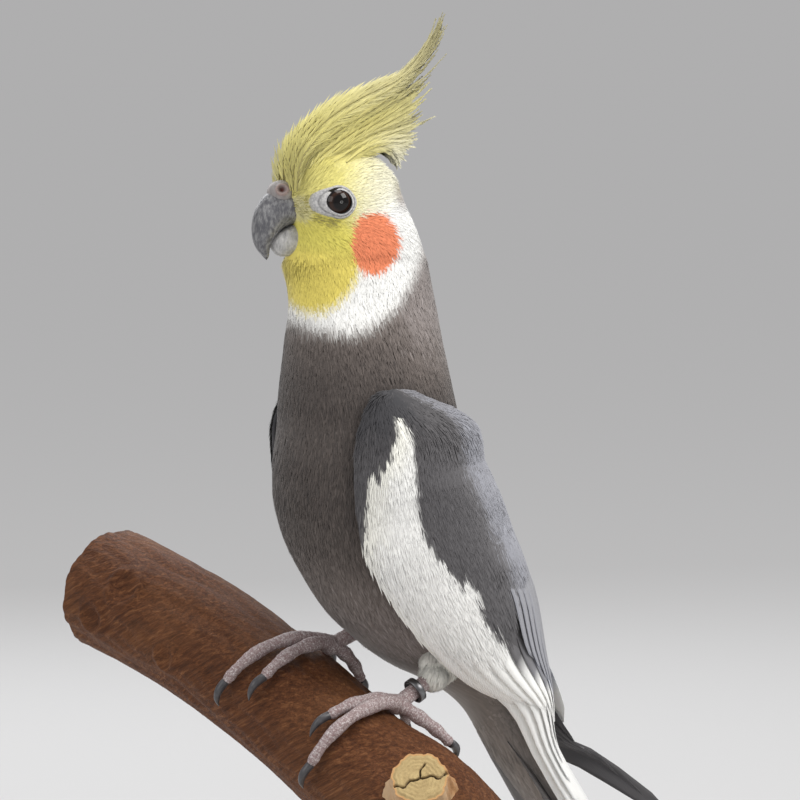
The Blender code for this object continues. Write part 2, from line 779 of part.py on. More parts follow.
def foot_pieces(plan, grow=0.0):
    """The pad of a foot and its four toes, lying round the branch."""
    h0, angle0 = plan["base"]
    base = branch_frame(h0, TOE_TRACK, angle0)
    pieces = [ball("pad", base, [FOOT_RADIUS + grow] * 3, None, 14, 8)]
    for _, h, angle in plan["toes"]:
        path = []
        radii = []
        for k in range(6):
            t = k / 5.0
            at = branch_frame(h0 + (h - h0) * t ** 0.8, TOE_TRACK + 0.5 * (1 - t), angle0 + (angle - angle0) * t)
            path.append(at)
            radii.append(TOE_RADII[0] + (TOE_RADII[1] - TOE_RADII[0]) * t + (0.12 if k % 2 else 0.0) + grow)
        pieces.append(tube("toe", path, radii, 8))
    return pieces


def build_foot(side):
    plan = FEET[side]
    h0, angle0 = plan["base"]
    base = branch_frame(h0, TOE_TRACK, angle0)
    foot, *toes = foot_pieces(plan)
    foot.name = "foot_" + side
    union(foot, toes)
    keep_largest(foot)
    for name, h, angle in plan["toes"]:
        build_claw("claw_%s_%s" % (side, name), h, angle, 1 if angle > angle0 else -1)
    ankle = Vector(plan["ankle"])
    leg = ball("leg_" + side, plan["thigh"], THIGH_SIZE, None, 18, 12)
    axis = (ankle - base).normalized()
    shank = tube("shank", [base, base + axis * 5.0, ankle], [TARSUS_RADIUS, TARSUS_RADIUS, TARSUS_RADIUS * 1.1], 14)
    tuft = ball("tuft", base.lerp(ankle, 0.86), [TUFT_RADIUS] * 3, None, 12, 8)
    union(leg, [shank, tuft])
    foot_cut, *toe_cuts = foot_pieces(plan, GAP)
    union(foot_cut, toe_cuts)
    subtract(leg, [trunk("cut", TORSO_RINGS, GAP, 0.3), foot_cut], "EXACT")
    keep_largest(leg)
    if side == "left":
        build_ring(base, ankle)


def build_claw(name, h, angle, sense):
    path = []
    radii = []
    for k in range(4):
        t = k / 3.0
        turn = angle + sense * (CLAW_START + CLAW_SWEEP * t)
        path.append(branch_frame(h, TOE_TRACK + CLAW_ARCH * math.sin(math.pi * t) - CLAW_DIP * t, turn))
        radii.append(CLAW_RADII[k])
    tube(name, path, radii, 8)


def build_ring(base, ankle):
    middle = base.lerp(ankle, RING_PLACE)
    axis = ((ankle - base).normalized() + Vector(RING_TILT)).normalized()
    half = axis * RING_LENGTH / 2.0
    band = tube("leg_ring", [middle - half, middle + half], [RING_OUTER] * 2, 24)
    subtract(band, [tube("cut", [middle - half * 1.5, middle + half * 1.5], [RING_INNER] * 2, 24)])
    keep_largest(band)


def paint(ob):
    """Gives a piece its own material, smooth shading and an origin at its own middle."""
    colour, rough, metal = next(LOOKS[key] for key in LOOKS if ob.name.startswith(key))
    material = bpy.data.materials.new(ob.name)
    material.use_nodes = True
    shader = material.node_tree.nodes["Principled BSDF"]
    shader.inputs["Base Color"].default_value = (*colour, 1.0)
    shader.inputs["Roughness"].default_value = rough
    shader.inputs["Metallic"].default_value = metal
    ob.data.materials.clear()
    ob.data.materials.append(material)
    ob.data.shade_smooth()
    ob.data.set_sharp_from_angle(angle=math.radians(40.0))
    middle = sum((Vector(corner) for corner in ob.bound_box), Vector()) / 8.0
    ob.data.transform(Matrix.Translation(-middle))
    ob.location = middle


def assemble():
    """Paints every piece and parents all of them to one empty at the model's origin."""
    pieces = [ob for ob in bpy.data.objects if ob.type == "MESH"]
    root = bpy.data.objects.new("cockatiel", None)
    bpy.context.scene.collection.objects.link(root)
    for ob in pieces:
        paint(ob)
        ob.parent = root
    bpy.context.view_layer.update()


def main():
    clear()
    build_stand()
    build_branch()
    build_foot("left")
    build_foot("right")
    trunk("torso", TORSO_RINGS)
    trunk("neck", NECK_RINGS)
    build_head()
    build_bill()
    build_crest()
    build_tail()
    build_wing("left", 1)
    build_wing("right", -1)
    assemble()


main()
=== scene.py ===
# %% [markdown]
# # A cockatiel on a short branch
#
# This lesson dresses a life-size museum model of a cockatiel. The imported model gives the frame: where the
# bird, its perch and its stand are. Here one skin is laid under the plumage, thousands of small solid
# blades and larger vanes grow from it, and bill, eyes, feet and wood get their own surfaces.
#
# All sizes below are millimetres in the model's frame: the bird faces -Y, its left side is +X.

# %% Tools and the model's frame
import json
import math

import bpy
import numpy as np
from mathutils import Matrix, Vector

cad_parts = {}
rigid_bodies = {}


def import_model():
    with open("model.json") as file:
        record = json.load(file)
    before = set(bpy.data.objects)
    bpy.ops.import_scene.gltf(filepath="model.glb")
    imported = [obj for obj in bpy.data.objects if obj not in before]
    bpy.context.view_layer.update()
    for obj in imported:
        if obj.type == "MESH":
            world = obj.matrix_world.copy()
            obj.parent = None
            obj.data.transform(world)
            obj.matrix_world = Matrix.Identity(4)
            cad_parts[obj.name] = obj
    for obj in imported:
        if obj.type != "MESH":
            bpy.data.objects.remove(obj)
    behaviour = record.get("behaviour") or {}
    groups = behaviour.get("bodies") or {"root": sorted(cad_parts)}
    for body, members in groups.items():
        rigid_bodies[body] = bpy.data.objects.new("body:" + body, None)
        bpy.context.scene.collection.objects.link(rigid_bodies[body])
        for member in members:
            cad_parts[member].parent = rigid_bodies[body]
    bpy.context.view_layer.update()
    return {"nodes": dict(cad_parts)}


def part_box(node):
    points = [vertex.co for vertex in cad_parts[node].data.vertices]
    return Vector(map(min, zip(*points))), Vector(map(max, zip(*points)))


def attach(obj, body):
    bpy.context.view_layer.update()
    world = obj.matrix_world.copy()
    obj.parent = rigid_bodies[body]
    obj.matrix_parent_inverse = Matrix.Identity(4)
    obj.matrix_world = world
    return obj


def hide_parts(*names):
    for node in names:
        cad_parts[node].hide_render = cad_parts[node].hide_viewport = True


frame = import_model()
MM = 0.001
rng = np.random.default_rng(11)
print("frame holds", len(frame["nodes"]), "nodes")

# %% [markdown]
# ## Small tools for meshes
#
# Every surface is made from arrays: points in millimetres and triangles. A coat piece also carries
# three things for its shader: `mark` holds the share of yellow, orange and white and how dark the grey
# is; `vane` holds the place along and across a blade and one random number; `OFBake` is a map on which
# every blade is a tiny patch where its root sits.

# %% Mesh tools


def build(name, points, faces, marks=None, vane=None, uv=None, smooth=True, normals=None):
    points = np.asarray(points, float) * MM
    faces = np.asarray(faces, np.int32)
    mesh = bpy.data.meshes.new(name)
    mesh.vertices.add(len(points))
    mesh.vertices.foreach_set("co", points.ravel())
    mesh.loops.add(faces.size)
    mesh.loops.foreach_set("vertex_index", faces.ravel())
    mesh.polygons.add(len(faces))
    mesh.polygons.foreach_set("loop_start", np.arange(0, faces.size, faces.shape[1], dtype=np.int32))
    mesh.polygons.foreach_set("use_smooth", np.full(len(faces), smooth))
    if uv is not None:
        layer = mesh.uv_layers.new(name="OFBake")
        layer.data.foreach_set("uv", np.asarray(uv, np.float32)[faces.ravel()].ravel())
    if marks is not None:
        data = mesh.attributes.new("mark", "FLOAT_COLOR", "POINT")
        data.data.foreach_set("color", np.asarray(marks, np.float32).ravel())
    if vane is not None:
        data = mesh.attributes.new("vane", "FLOAT_VECTOR", "POINT")
        data.data.foreach_set("vector", np.asarray(vane, np.float32).ravel())
    mesh.update(calc_edges=True)
    mesh.validate()
    if normals is not None:
        mesh.normals_split_custom_set_from_vertices(np.asarray(normals, np.float32).reshape(-1, 3))
    ob = bpy.data.objects.new(name, mesh)
    bpy.context.scene.collection.objects.link(ob)
    return ob


def grid_faces(rows, columns, wrap=False, first=0):
    """Triangles of a grid of points, row by row; wrap joins the last column to the first."""
    r, c = np.meshgrid(np.arange(rows - 1), np.arange(columns if wrap else columns - 1), indexing="ij")
    a = first + r * columns + c
    b = first + r * columns + (c + 1) % columns
    return np.concatenate([np.stack([a, b, b + columns], -1).reshape(-1, 3),
                           np.stack([a, b + columns, a + columns], -1).reshape(-1, 3)])


def unit(v):
    return v / np.maximum(np.linalg.norm(v, axis=-1, keepdims=True), 1e-9)


def curve_at(values, at):
    """Smooth interpolation down a table of rows at fractional places."""
    values = np.asarray(values, float)
    at = np.clip(np.asarray(at, float), 0.0, len(values) - 1.0)
    low = np.minimum(at.astype(int), len(values) - 2)
    t = (at - low)[..., None]
    p0 = values[np.maximum(low - 1, 0)]
    p1 = values[low]
    p2 = values[low + 1]
    p3 = values[np.minimum(low + 2, len(values) - 1)]
    return 0.5 * (2 * p1 + (p2 - p0) * t + (2 * p0 - 5 * p1 + 4 * p2 - p3) * t ** 2
                  + (3 * p1 - p0 - 3 * p2 + p3) * t ** 3)


def settle(ob, material, slot, *nodes):
    """Gives a piece its material and its ride and hides the nodes it replaces; slot is not used."""
    ob.data.materials.append(material)
    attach(ob, "root")
    if nodes:
        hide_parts(*nodes)
    return ob


def tube(name, path, radii, sides=12, squash=1.0, cap=True):
    """A round or flattened tube along points, with rounded ends; returns points, faces and places."""
    path = np.asarray(path, float)
    radii = np.asarray(radii, float)
    along = unit(np.gradient(path, axis=0))
    side = unit(np.cross(along[0], [0.31, 0.17, 0.93]))
    rings = []
    for k in range(len(path)):
        side = unit(side - along[k] * side.dot(along[k]))
        other = np.cross(along[k], side)
        a = np.linspace(0, math.tau, sides, endpoint=False)[:, None]
        rings.append(path[k] + (np.cos(a) * side + np.sin(a) * other * squash) * radii[k])
    points = np.concatenate(rings)
    faces = grid_faces(len(path), sides, True)
    if cap:
        ends = np.stack([path[0], path[-1]])
        points = np.concatenate([points, ends])
        k = np.arange(sides)
        last = (len(path) - 1) * sides
        faces = np.concatenate([faces, np.stack([(k + 1) % sides, k, np.full(sides, len(points) - 2)], -1),
                                np.stack([last + k, last + (k + 1) % sides, np.full(sides, len(points) - 1)], -1)])
    return points, faces


# %% [markdown]
# ## Camera, floor and light
#
# The camera stands at the height of the bird's breast, 62 degrees round from its front, as in the
# photograph. Broad soft lamps and a pale floor keep the shadows gentle.

# %% Camera and light
CAMERA_TURN = math.radians(62.0)
CAMERA_RISE = math.radians(4.0)
CAMERA_AWAY = 1.2
TARGET = Vector((0.0, 0.0, 0.205))
VIEW_WIDTH = 0.2
WORLD_COLOUR = (0.74, 0.735, 0.74)
WORLD_STRENGTH = 0.58

scene = bpy.context.scene
back = Vector((math.sin(CAMERA_TURN) * math.cos(CAMERA_RISE),
               -math.cos(CAMERA_TURN) * math.cos(CAMERA_RISE), math.sin(CAMERA_RISE)))
camera = bpy.data.objects.new("camera", bpy.data.cameras.new("camera"))
scene.collection.objects.link(camera)
camera.location = TARGET + back * CAMERA_AWAY
camera.rotation_euler = (-back).to_track_quat("-Z", "Y").to_euler()
camera.data.lens = 36.0 * CAMERA_AWAY / VIEW_WIDTH
camera.data.clip_end = 200.0
scene.camera = camera

LAMPS = (
    ("key", (1.05, 0.75, 1.35), 0.9, 19.0, (1.0, 0.985, 0.96)),
    ("top", (0.25, 0.05, 1.75), 0.8, 9.0, (1.0, 0.99, 0.97)),
    ("face", (0.35, -1.35, 0.75), 0.9, 5.0, (1.0, 0.985, 0.965)),
    ("back", (-0.95, 0.2, 0.8), 0.9, 6.0, (0.97, 0.98, 1.0)),
)
for name, place, size, power, colour in LAMPS:
    lamp = bpy.data.objects.new(name, bpy.data.lights.new(name, "AREA"))
    lamp.data.size = size
    lamp.data.energy = power
    lamp.data.color = colour
    lamp.location = place
    lamp.rotation_euler = (TARGET - Vector(place)).to_track_quat("-Z", "Y").to_euler()
    scene.collection.objects.link(lamp)

world = bpy.data.worlds.new("studio")
scene.world = world
world.use_nodes = True
world.node_tree.nodes["Background"].inputs["Color"].default_value = (*WORLD_COLOUR, 1.0)
world.node_tree.nodes["Background"].inputs["Strength"].default_value = WORLD_STRENGTH
scene.view_settings.view_transform = "Standard"
scene.view_settings.look = "None"

# %% [markdown]
# ## Shader tools
#
# `add` makes one shader node and fills or links its sockets. Effects that several materials share are
# node groups with sockets of their own.

# %% Shader tools


def add(tree, kind, sockets=None, **settings):
    made = tree.nodes.new("ShaderNode" + kind)
    for key, value in settings.items():
        setattr(made, key, value)
    for key, value in (sockets or {}).items():
        if isinstance(value, bpy.types.NodeSocket):
            tree.links.new(value, made.inputs[key])
        else:
            made.inputs[key].default_value = value
    return made


def blend(tree, share, a, b, kind="MIX"):
    """Mixes two colours; either may be a socket."""
    made = tree.nodes.new("ShaderNodeMix")
    made.data_type = "RGBA"
    made.blend_type = kind
    for index, value in ((0, share), (6, a), (7, b)):
        if isinstance(value, bpy.types.NodeSocket):
            tree.links.new(value, made.inputs[index])
        else:
            made.inputs[index].default_value = value if index == 0 or len(value) == 4 else (*value, 1.0)
    return made.outputs[2]


def calc(tree, operation, a, b=0.0, c=0.0, clamp=False):
    made = add(tree, "Math", {0: a, 1: b, 2: c}, operation=operation)
    made.use_clamp = clamp
    return made.outputs[0]


def new_group(name, inputs, outputs):
    tree = bpy.data.node_groups.new(name, "ShaderNodeTree")
    for label, kind, value in inputs:
        socket = tree.interface.new_socket(label, in_out="INPUT", socket_type="NodeSocket" + kind)
        if value is not None:
            socket.default_value = value
    for label, kind in outputs:
        tree.interface.new_socket(label, in_out="OUTPUT", socket_type="NodeSocket" + kind)
    return tree, tree.nodes.new("NodeGroupInput"), tree.nodes.new("NodeGroupOutput")


def use_group(tree, group, sockets=None):
    made = tree.nodes.new("ShaderNodeGroup")
    made.node_tree = group
    for key, value in (sockets or {}).items():
        if isinstance(value, bpy.types.NodeSocket):
            tree.links.new(value, made.inputs[key])
        else:
            made.inputs[key].default_value = value
    return made


def new_material(name, roughness=0.5, **values):
    made = bpy.data.materials.new(name)
    made.use_nodes = True
    shader = made.node_tree.nodes["Principled BSDF"]
    shader.inputs["Roughness"].default_value = roughness
    for key, value in values.items():
        shader.inputs[key.replace("_", " ")].default_value = value
    return made, made.node_tree, shader


# %% Floor
FLOOR_SHARE = 0.36
floor_material, tree, shader = new_material("floor", 0.9)
shader.inputs["Specular IOR Level"].default_value = 0.0
shader.inputs["Base Color"].default_value = (FLOOR_SHARE, FLOOR_SHARE, FLOOR_SHARE, 1.0)
shader.inputs["Emission Color"].default_value = (*WORLD_COLOUR, 1.0)
shader.inputs["Emission Strength"].default_value = WORLD_STRENGTH * (1.0 - FLOOR_SHARE)
radius = 60.0
ring = [(radius * math.cos(a), radius * math.sin(a), -0.0002) for a in np.linspace(0, math.tau, 65)[:-1]]
floor_mesh = bpy.data.meshes.new("floor")
floor_mesh.from_pydata(ring, [], [tuple(range(64))])
floor = bpy.data.objects.new("floor", floor_mesh)
floor.data.materials.append(floor_material)
scene.collection.objects.link(floor)

# %% [markdown]
# ## Plumage colours
#
# One group turns the four shares into a colour and makes the fine comb of barbs, which only the vanes use as a bump.

# %% Plumage shader
group, start, end = new_group(
    "plumage colour",
    [("Mark", "Color", (0, 0, 0, 1)), ("Tone", "Float", 0.5), ("Vane", "Vector", None), ("Warmth", "Float", 0.0)],
    [("Color", "Color"), ("Height", "Float")])
parts = add(group, "SeparateColor", {"Color": start.outputs["Mark"]})
place = add(group, "SeparateXYZ", {"Vector": start.outputs["Vane"]})
along, across, chance = place.outputs
grey = add(group, "ValToRGB", {"Fac": start.outputs["Tone"]})
stops = grey.color_ramp.elements
stops[0].position = 0.0
stops[0].color = (0.62, 0.62, 0.64, 1)
stops[1].position = 1.0
stops[1].color = (0.040, 0.038, 0.040, 1)
for at, colour in ((0.3, (0.34, 0.33, 0.345, 1)), (0.6, (0.155, 0.142, 0.138, 1)), (0.8, (0.085, 0.077, 0.075, 1))):
    stop = stops.new(at)
    stop.color = colour
warm = blend(group, start.outputs["Warmth"], (0.95, 1.0, 1.08), (1.04, 0.95, 0.88))
warm = blend(group, 1.0, grey.outputs["Color"], warm, "MULTIPLY")
shade = blend(group, parts.outputs["Blue"], warm, (0.97, 0.97, 0.945))
shade = blend(group, parts.outputs["Red"], shade, (0.82, 0.73, 0.15))
shade = blend(group, parts.outputs["Green"], shade, (0.90, 0.27, 0.13))
tone_jitter_and_root_shade = calc(group, "MULTIPLY_ADD", chance, 0.22, 0.89)
# Besides a random tone, each blade is painted a little darker at its root than at its tip: painted shade where the
# blades overlap.
tip = calc(group, "MULTIPLY_ADD", along, 0.10, 0.94)
tone_jitter_and_root_shade = calc(group, "MULTIPLY", tone_jitter_and_root_shade, tip)
shade = blend(group, 1.0, shade, add(group, "CombineColor", {0: tone_jitter_and_root_shade, 1: tone_jitter_and_root_shade, 2: tone_jitter_and_root_shade}).outputs[0], "MULTIPLY")
side = calc(group, "ABSOLUTE", across)
comb = calc(group, "SINE", calc(group, "MULTIPLY", calc(group, "SUBTRACT", calc(group, "MULTIPLY", along, 60.0),
                                                        calc(group, "MULTIPLY", side, 9.0)), 6.0))
group.links.new(shade, end.inputs["Color"])
group.links.new(comb, end.inputs["Height"])
plumage_group = group


def plumage_material(name, roughness=0.62, comb=0.15, warmth=0.0):
    made, tree, shader = new_material(name, roughness)
    shader.inputs["Specular IOR Level"].default_value = 0.25
    shader.inputs["Sheen Weight"].default_value = 0.25
    shader.inputs["Sheen Roughness"].default_value = 0.5
    mark = add(tree, "Attribute", attribute_name="mark")
    vane = add(tree, "Attribute", attribute_name="vane")
    colour = use_group(tree, plumage_group, {"Mark": mark.outputs["Color"], "Tone": mark.outputs["Alpha"],
                                             "Vane": vane.outputs["Vector"], "Warmth": warmth})
    tree.links.new(colour.outputs["Color"], shader.inputs["Base Color"])
    bump = add(tree, "Bump", {"Strength": comb, "Distance": 0.0002, "Height": colour.outputs["Height"]})
    tree.links.new(bump.outputs["Normal"], shader.inputs["Normal"])
    return made


soft_plumage = plumage_material("soft plumage", 0.7, 0.0, 1.0)
wing_plumage = plumage_material("wing plumage", 0.62, 0.0, 0.0)
vane_plumage = plumage_material("vane plumage", 0.55, 0.35, 0.0)

# %% [markdown]
# ## The body's form
#
# The trunk is a stack of rounded sections from the crown to the root of the tail: height, middle, half
# depth, half width and how far the section is turned with the head.

# %% Body sections
HEAD_PIVOT = -12.5
HEAD_TURN = math.radians(11.0)
HEAD_ROWS = ((268.1, -4.4, -3.6, 0.6), (267.0, -10.0, 2.2, 5.0), (263.6, -15.8, 7.2, 8.6), (259.2, -19.0, 10.6, 10.8),
             (254.0, -18.9, 13.0, 12.1), (249.0, -17.2, 15.4, 13.0), (244.0, -17.4, 17.3, 13.6),
             (239.5, -18.8, 18.8, 13.75))
TRUNK_ROWS = ((230.0, -10.8, 19.2, 15.3, 7.0), (220.0, -10.3, 20.5, 18.0, 3.0), (209.0, -9.7, 22.2, 20.4, 0.0),
              (200.0, -9.0, 23.4, 21.4, 0.0), (190.0, -8.9, 24.6, 22.0, 0.0), (180.0, -7.5, 25.7, 22.0, 0.0),
              (168.75, -3.8, 26.0, 21.2, 0.0), (155.0, 2.2, 23.9, 19.0, 0.0), (146.0, 8.0, 21.0, 16.4, 0.0),
              (138.75, 14.6, 17.7, 13.6, 0.0), (132.5, 22.3, 12.4, 11.4, 0.0), (126.0, 26.7, 8.4, 9.4, 0.0),
              (115.0, 33.3, 7.4, 9.6, 0.0), (101.0, 42.4, 5.4, 9.4, 0.0), (88.0, 51.0, 3.0, 8.6, 0.0))
rows = []
for height, front, rear, width in HEAD_ROWS:
    middle = (front + rear) / 2
    rows.append((height, middle * math.sin(HEAD_TURN), HEAD_PIVOT + middle * math.cos(HEAD_TURN),
                 (rear - front) / 2, width, HEAD_TURN))
for height, middle, depth, width, turn in TRUNK_ROWS:
    rows.append((height, 0.0, middle, depth, width, math.radians(turn)))
BODY = np.array(rows)
LAST_ROW = len(BODY) - 1.0


def body_at(t, a, grow=0.0):
    """A point on the body: t counts rows from the crown, a is the angle round from the front."""
    z, cx, cy, depth, width, turn = np.moveaxis(curve_at(BODY, t), -1, 0)
    power = 2.0 / 2.15
    x = np.sign(np.sin(a)) * np.abs(np.sin(a)) ** power * (width + grow)
    y = -np.sign(np.cos(a)) * np.abs(np.cos(a)) ** power * (depth + grow)
    return np.stack([cx + x * np.cos(turn) + y * np.sin(turn), cy - x * np.sin(turn) + y * np.cos(turn), z], -1)


def body_frame(t, a):
    """Point, outward normal and downward direction on the body."""
    here = body_at(t, a)
    down = body_at(np.minimum(t + 0.02, LAST_ROW), a) - body_at(np.maximum(t - 0.02, 0.0), a)
    round_ = body_at(t, a + 0.02) - body_at(t, a - 0.02)
    out = unit(np.cross(round_, down))
    centre = body_at(t, a, -2.0)
    flip = np.sign(np.sum((here - centre) * out, -1, keepdims=True))
    return here, out * flip, unit(down)


def to_head(p):
    """Side, back and height in the head's own frame."""
    x = p[..., 0] * math.cos(HEAD_TURN) - (p[..., 1] - HEAD_PIVOT) * math.sin(HEAD_TURN)
    s = p[..., 0] * math.sin(HEAD_TURN) + (p[..., 1] - HEAD_PIVOT) * math.cos(HEAD_TURN)
    return x, s, p[..., 2]


def from_head(x, s, z):
    c, k = math.cos(HEAD_TURN), math.sin(HEAD_TURN)
    return np.stack(np.broadcast_arrays(x * c + s * k, HEAD_PIVOT - x * k + s * c, z), -1)


def head_dir(x, s, z):
    return from_head(x, s, z) - np.array([0.0, HEAD_PIVOT, 0.0])


# %% [markdown]
# ## Where the colours lie
#
# Seen from the side, `g` runs from face to nape and the height runs up. The cheek patch is an ellipse,
# yellow fills the face and throat, white rims it, and the rest is grey that is darkest on the breast.
# The darker breast is partly painted shade; painted shade also greys the lore and deepens the throat's
# yellow, and painted light pales the yellow higher on the face.

# %% Markings


def smooth(low, high, value):
    t = np.clip((value - low) / (high - low), 0.0, 1.0)
    return t * t * (3 - 2 * t)


def blob(g, z, middle_g, middle_z, wide, tall):
    return ((g - middle_g) / wide) ** 2 + ((z - middle_z) / tall) ** 2


def markings(p, ragged=0.35):
    """Shares of yellow, orange and white and the darkness of the grey at points of the body."""
    x, s, z = to_head(p)
    noise = rng.normal(0.0, ragged, (2,) + x.shape)
    g = 0.292 * np.abs(x) + 0.956 * s + noise[0]
    z = z + noise[1]
    orange = 1.0 - smooth(0.82, 1.12, blob(g, z, 4.9, 244.9, 6.1, 7.7))
    low_yellow = 1.0 - smooth(0.80, 1.22, blob(g, z, -11.0, 247.5, 13.6, 19.8))
    high_yellow = 1.0 - smooth(0.35, 1.15, blob(g, z, -6.0, 259.5, 18.5, 11.5))
    yellow = np.maximum(low_yellow, high_yellow * 0.95)
    yellow *= 1.0 - 0.55 * smooth(-4.0, 6.0, g) * smooth(246.0, 250.0, z)
    wide = np.where(g < -2.75, 36.0, 20.2)
    white = 1.0 - smooth(0.90, 1.10, np.sqrt(((g + 2.75) / wide) ** 2 + ((z - 248.7) / 25.2) ** 2))
    nape = smooth(4.8, 2.4, np.abs(x)) * smooth(6.0, 9.0, s) * smooth(234.0, 238.0, z)
    rear = smooth(6.5, 9.5, s) * smooth(252.0, 256.0, z)
    white *= 1.0 - np.maximum(0.7 * nape, 0.8 * rear)
    # Painted shade: the lore in front of the eye loses its yellow and white and turns to darker grey.
    painted_lore_shade = (1.0 - smooth(0.3, 1.2, blob(g, z, -13.6, 253.2, 4.4, 3.4))) * 0.46
    # The breast is darker grey than the belly: partly its own darker grey, partly painted shade on the side turned from
    # the light.
    tone = 0.58 + 0.24 * smooth(230.0, 208.0, z) - 0.34 * smooth(180.0, 142.0, z)
    tone = tone - 0.16 * smooth(2.0, 14.0, s) * smooth(204.0, 216.0, z)
    tone = tone + 0.05 * rng.normal(0.0, 1.0, x.shape)
    tone = np.where(np.maximum(nape, rear) > 0.4, 0.26, tone)
    under = smooth(140.0, 126.0, z)
    tone = tone + 0.10 * under
    # Painted shade and light: the throat under the head gets a deeper golden tint, and the yellow higher on the face is
    # paler.
    orange = np.maximum(orange, 0.09 * smooth(246.0, 240.0, z) * yellow)
    yellow = yellow * (1.0 - 0.12 * smooth(248.0, 256.0, z))
    white = np.maximum(white - painted_lore_shade, 0.12 * under)
    yellow = np.clip(yellow - painted_lore_shade * 0.8, 0.0, 1.0)
    return np.stack([yellow, orange, np.clip(white, 0, 1), np.clip(tone, 0.05, 0.95)], -1)


# %% [markdown]
# ## The skin
#
# One smooth surface a millimetre under the plumage takes the place of all the soft nodes.

# %% Skin
SKIN_UNDER = 0.9
t_grid = np.linspace(0.0, LAST_ROW, 150)
a_grid = np.linspace(0.0, math.tau, 96, endpoint=False)
tt, aa = np.meshgrid(t_grid, a_grid, indexing="ij")
skin_points = body_at(tt, aa, -SKIN_UNDER).reshape(-1, 3)
skin_faces = grid_faces(len(t_grid), len(a_grid), True)
count = len(a_grid)
poles = np.stack([body_at(np.array(0.0), np.array(0.0), -0.6) * 0 + from_head(0.0, -4.0, 267.6),
                  np.array([0.0, 51.0, 87.6])])
k = np.arange(count)
skin_faces = np.concatenate([skin_faces, np.stack([(k + 1) % count, k, np.full(count, len(skin_points))], -1),
                             np.stack([(len(t_grid) - 1) * count + k, (len(t_grid) - 1) * count + (k + 1) % count,
                                       np.full(count, len(skin_points) + 1)], -1)])
skin_points = np.concatenate([skin_points, poles])
skin_marks = markings(skin_points, 0.0)
# The skin is painted a little darker grey than the blades over it: painted shade in the gaps between feathers.
skin_marks[:, 3] = np.clip(skin_marks[:, 3] + 0.08, 0, 1)
skin_uv = np.concatenate([np.stack([aa.ravel() / math.tau, 1 - tt.ravel() / LAST_ROW], -1) * 0.96 + 0.02,
                          [[0.5, 0.995], [0.5, 0.005]]])
skin_vane = np.tile([0.3, 0.0, 0.5], (len(skin_points), 1))
skin = build("skin", skin_points, skin_faces[:, ::-1], skin_marks, skin_vane, skin_uv)
settle(skin, soft_plumage, "plumage", "torso", "neck", "head")
print("skin has", len(skin_faces), "triangles")

# %% [markdown]
# ## Blades and vanes
#
# A blade is a slim three-sided sliver, sunk at its root and lifted at its tip. A vane is a whole feather
# with a cambered top, a flat back and softly rounded tip.

# %% Feather builders
EYE = (-7.4, 255.0)


FINE = ((0.0, 0.75, None), (0.45, 1.0, 0.6))
ROUND = ((0.0, 0.7, None), (0.4, 1.0, 0.6), (0.8, 0.72, 0.95))


def blades(name, root, lie, out, length, width, lift, marks, uv, curl=0.0, sink=0.5, form=FINE, ridge=0.10,
           facing=None):
    """Many small feathers as one mesh; every argument holds one row per feather, facing shades them."""
    n = len(root)
    facing = out if facing is None else facing
    side = unit(np.cross(lie, out))
    length = np.broadcast_to(length, n)[:, None]
    width = np.broadcast_to(width, n)[:, None]
    lift = np.broadcast_to(lift, n)[:, None]
    bend = np.broadcast_to(curl, n)[:, None]
    points = []
    places = []
    normals = []
    for t, part, rise in form:
        high = -sink if rise is None else rise * lift
        centre = root + lie * length * t + out * high + side * bend * t * t
        half = side * width * part / 2
        points += [centre - half, centre + out * width * ridge, centre + half]
        places += [(t, -1.0), (t, 0.0), (t, 1.0)]
        normals += [facing - side * 0.3, facing, facing + side * 0.3]
    points.append(root + lie * length + out * lift * 0.9 + side * bend)
    places.append((1.0, 0.0))
    normals.append(facing)
    points = np.stack(points, 1)
    size = points.shape[1]
    local = []
    for ring in range(len(form) - 1):
        a = ring * 3
        for k in range(3):
            b = (k + 1) % 3
            local += [(a + k, a + b, a + 3 + b), (a + k, a + 3 + b, a + 3 + k)]
    last = size - 4
    local += [(last, last + 1, last + 3), (last + 1, last + 2, last + 3), (last + 2, last, last + 3), (0, 2, 1)]
    faces = (np.arange(n)[:, None, None] * size + np.array(local)[None]).reshape(-1, 3)
    places = np.array(places)
    vane = np.concatenate([np.tile(places[None], (n, 1, 1)), np.repeat(rng.random((n, 1, 1)), size, 1)], -1)
    patch = uv[:, None, :] + (places[None, :, ::-1] * np.array([0.5, 1.0]) - np.array([0.0, 0.5])) * 0.003
    return build(name, points.reshape(-1, 3), faces, np.repeat(marks, size, 0), vane.reshape(-1, 3),
                 patch.reshape(-1, 2), normals=unit(np.stack(normals, 1)))


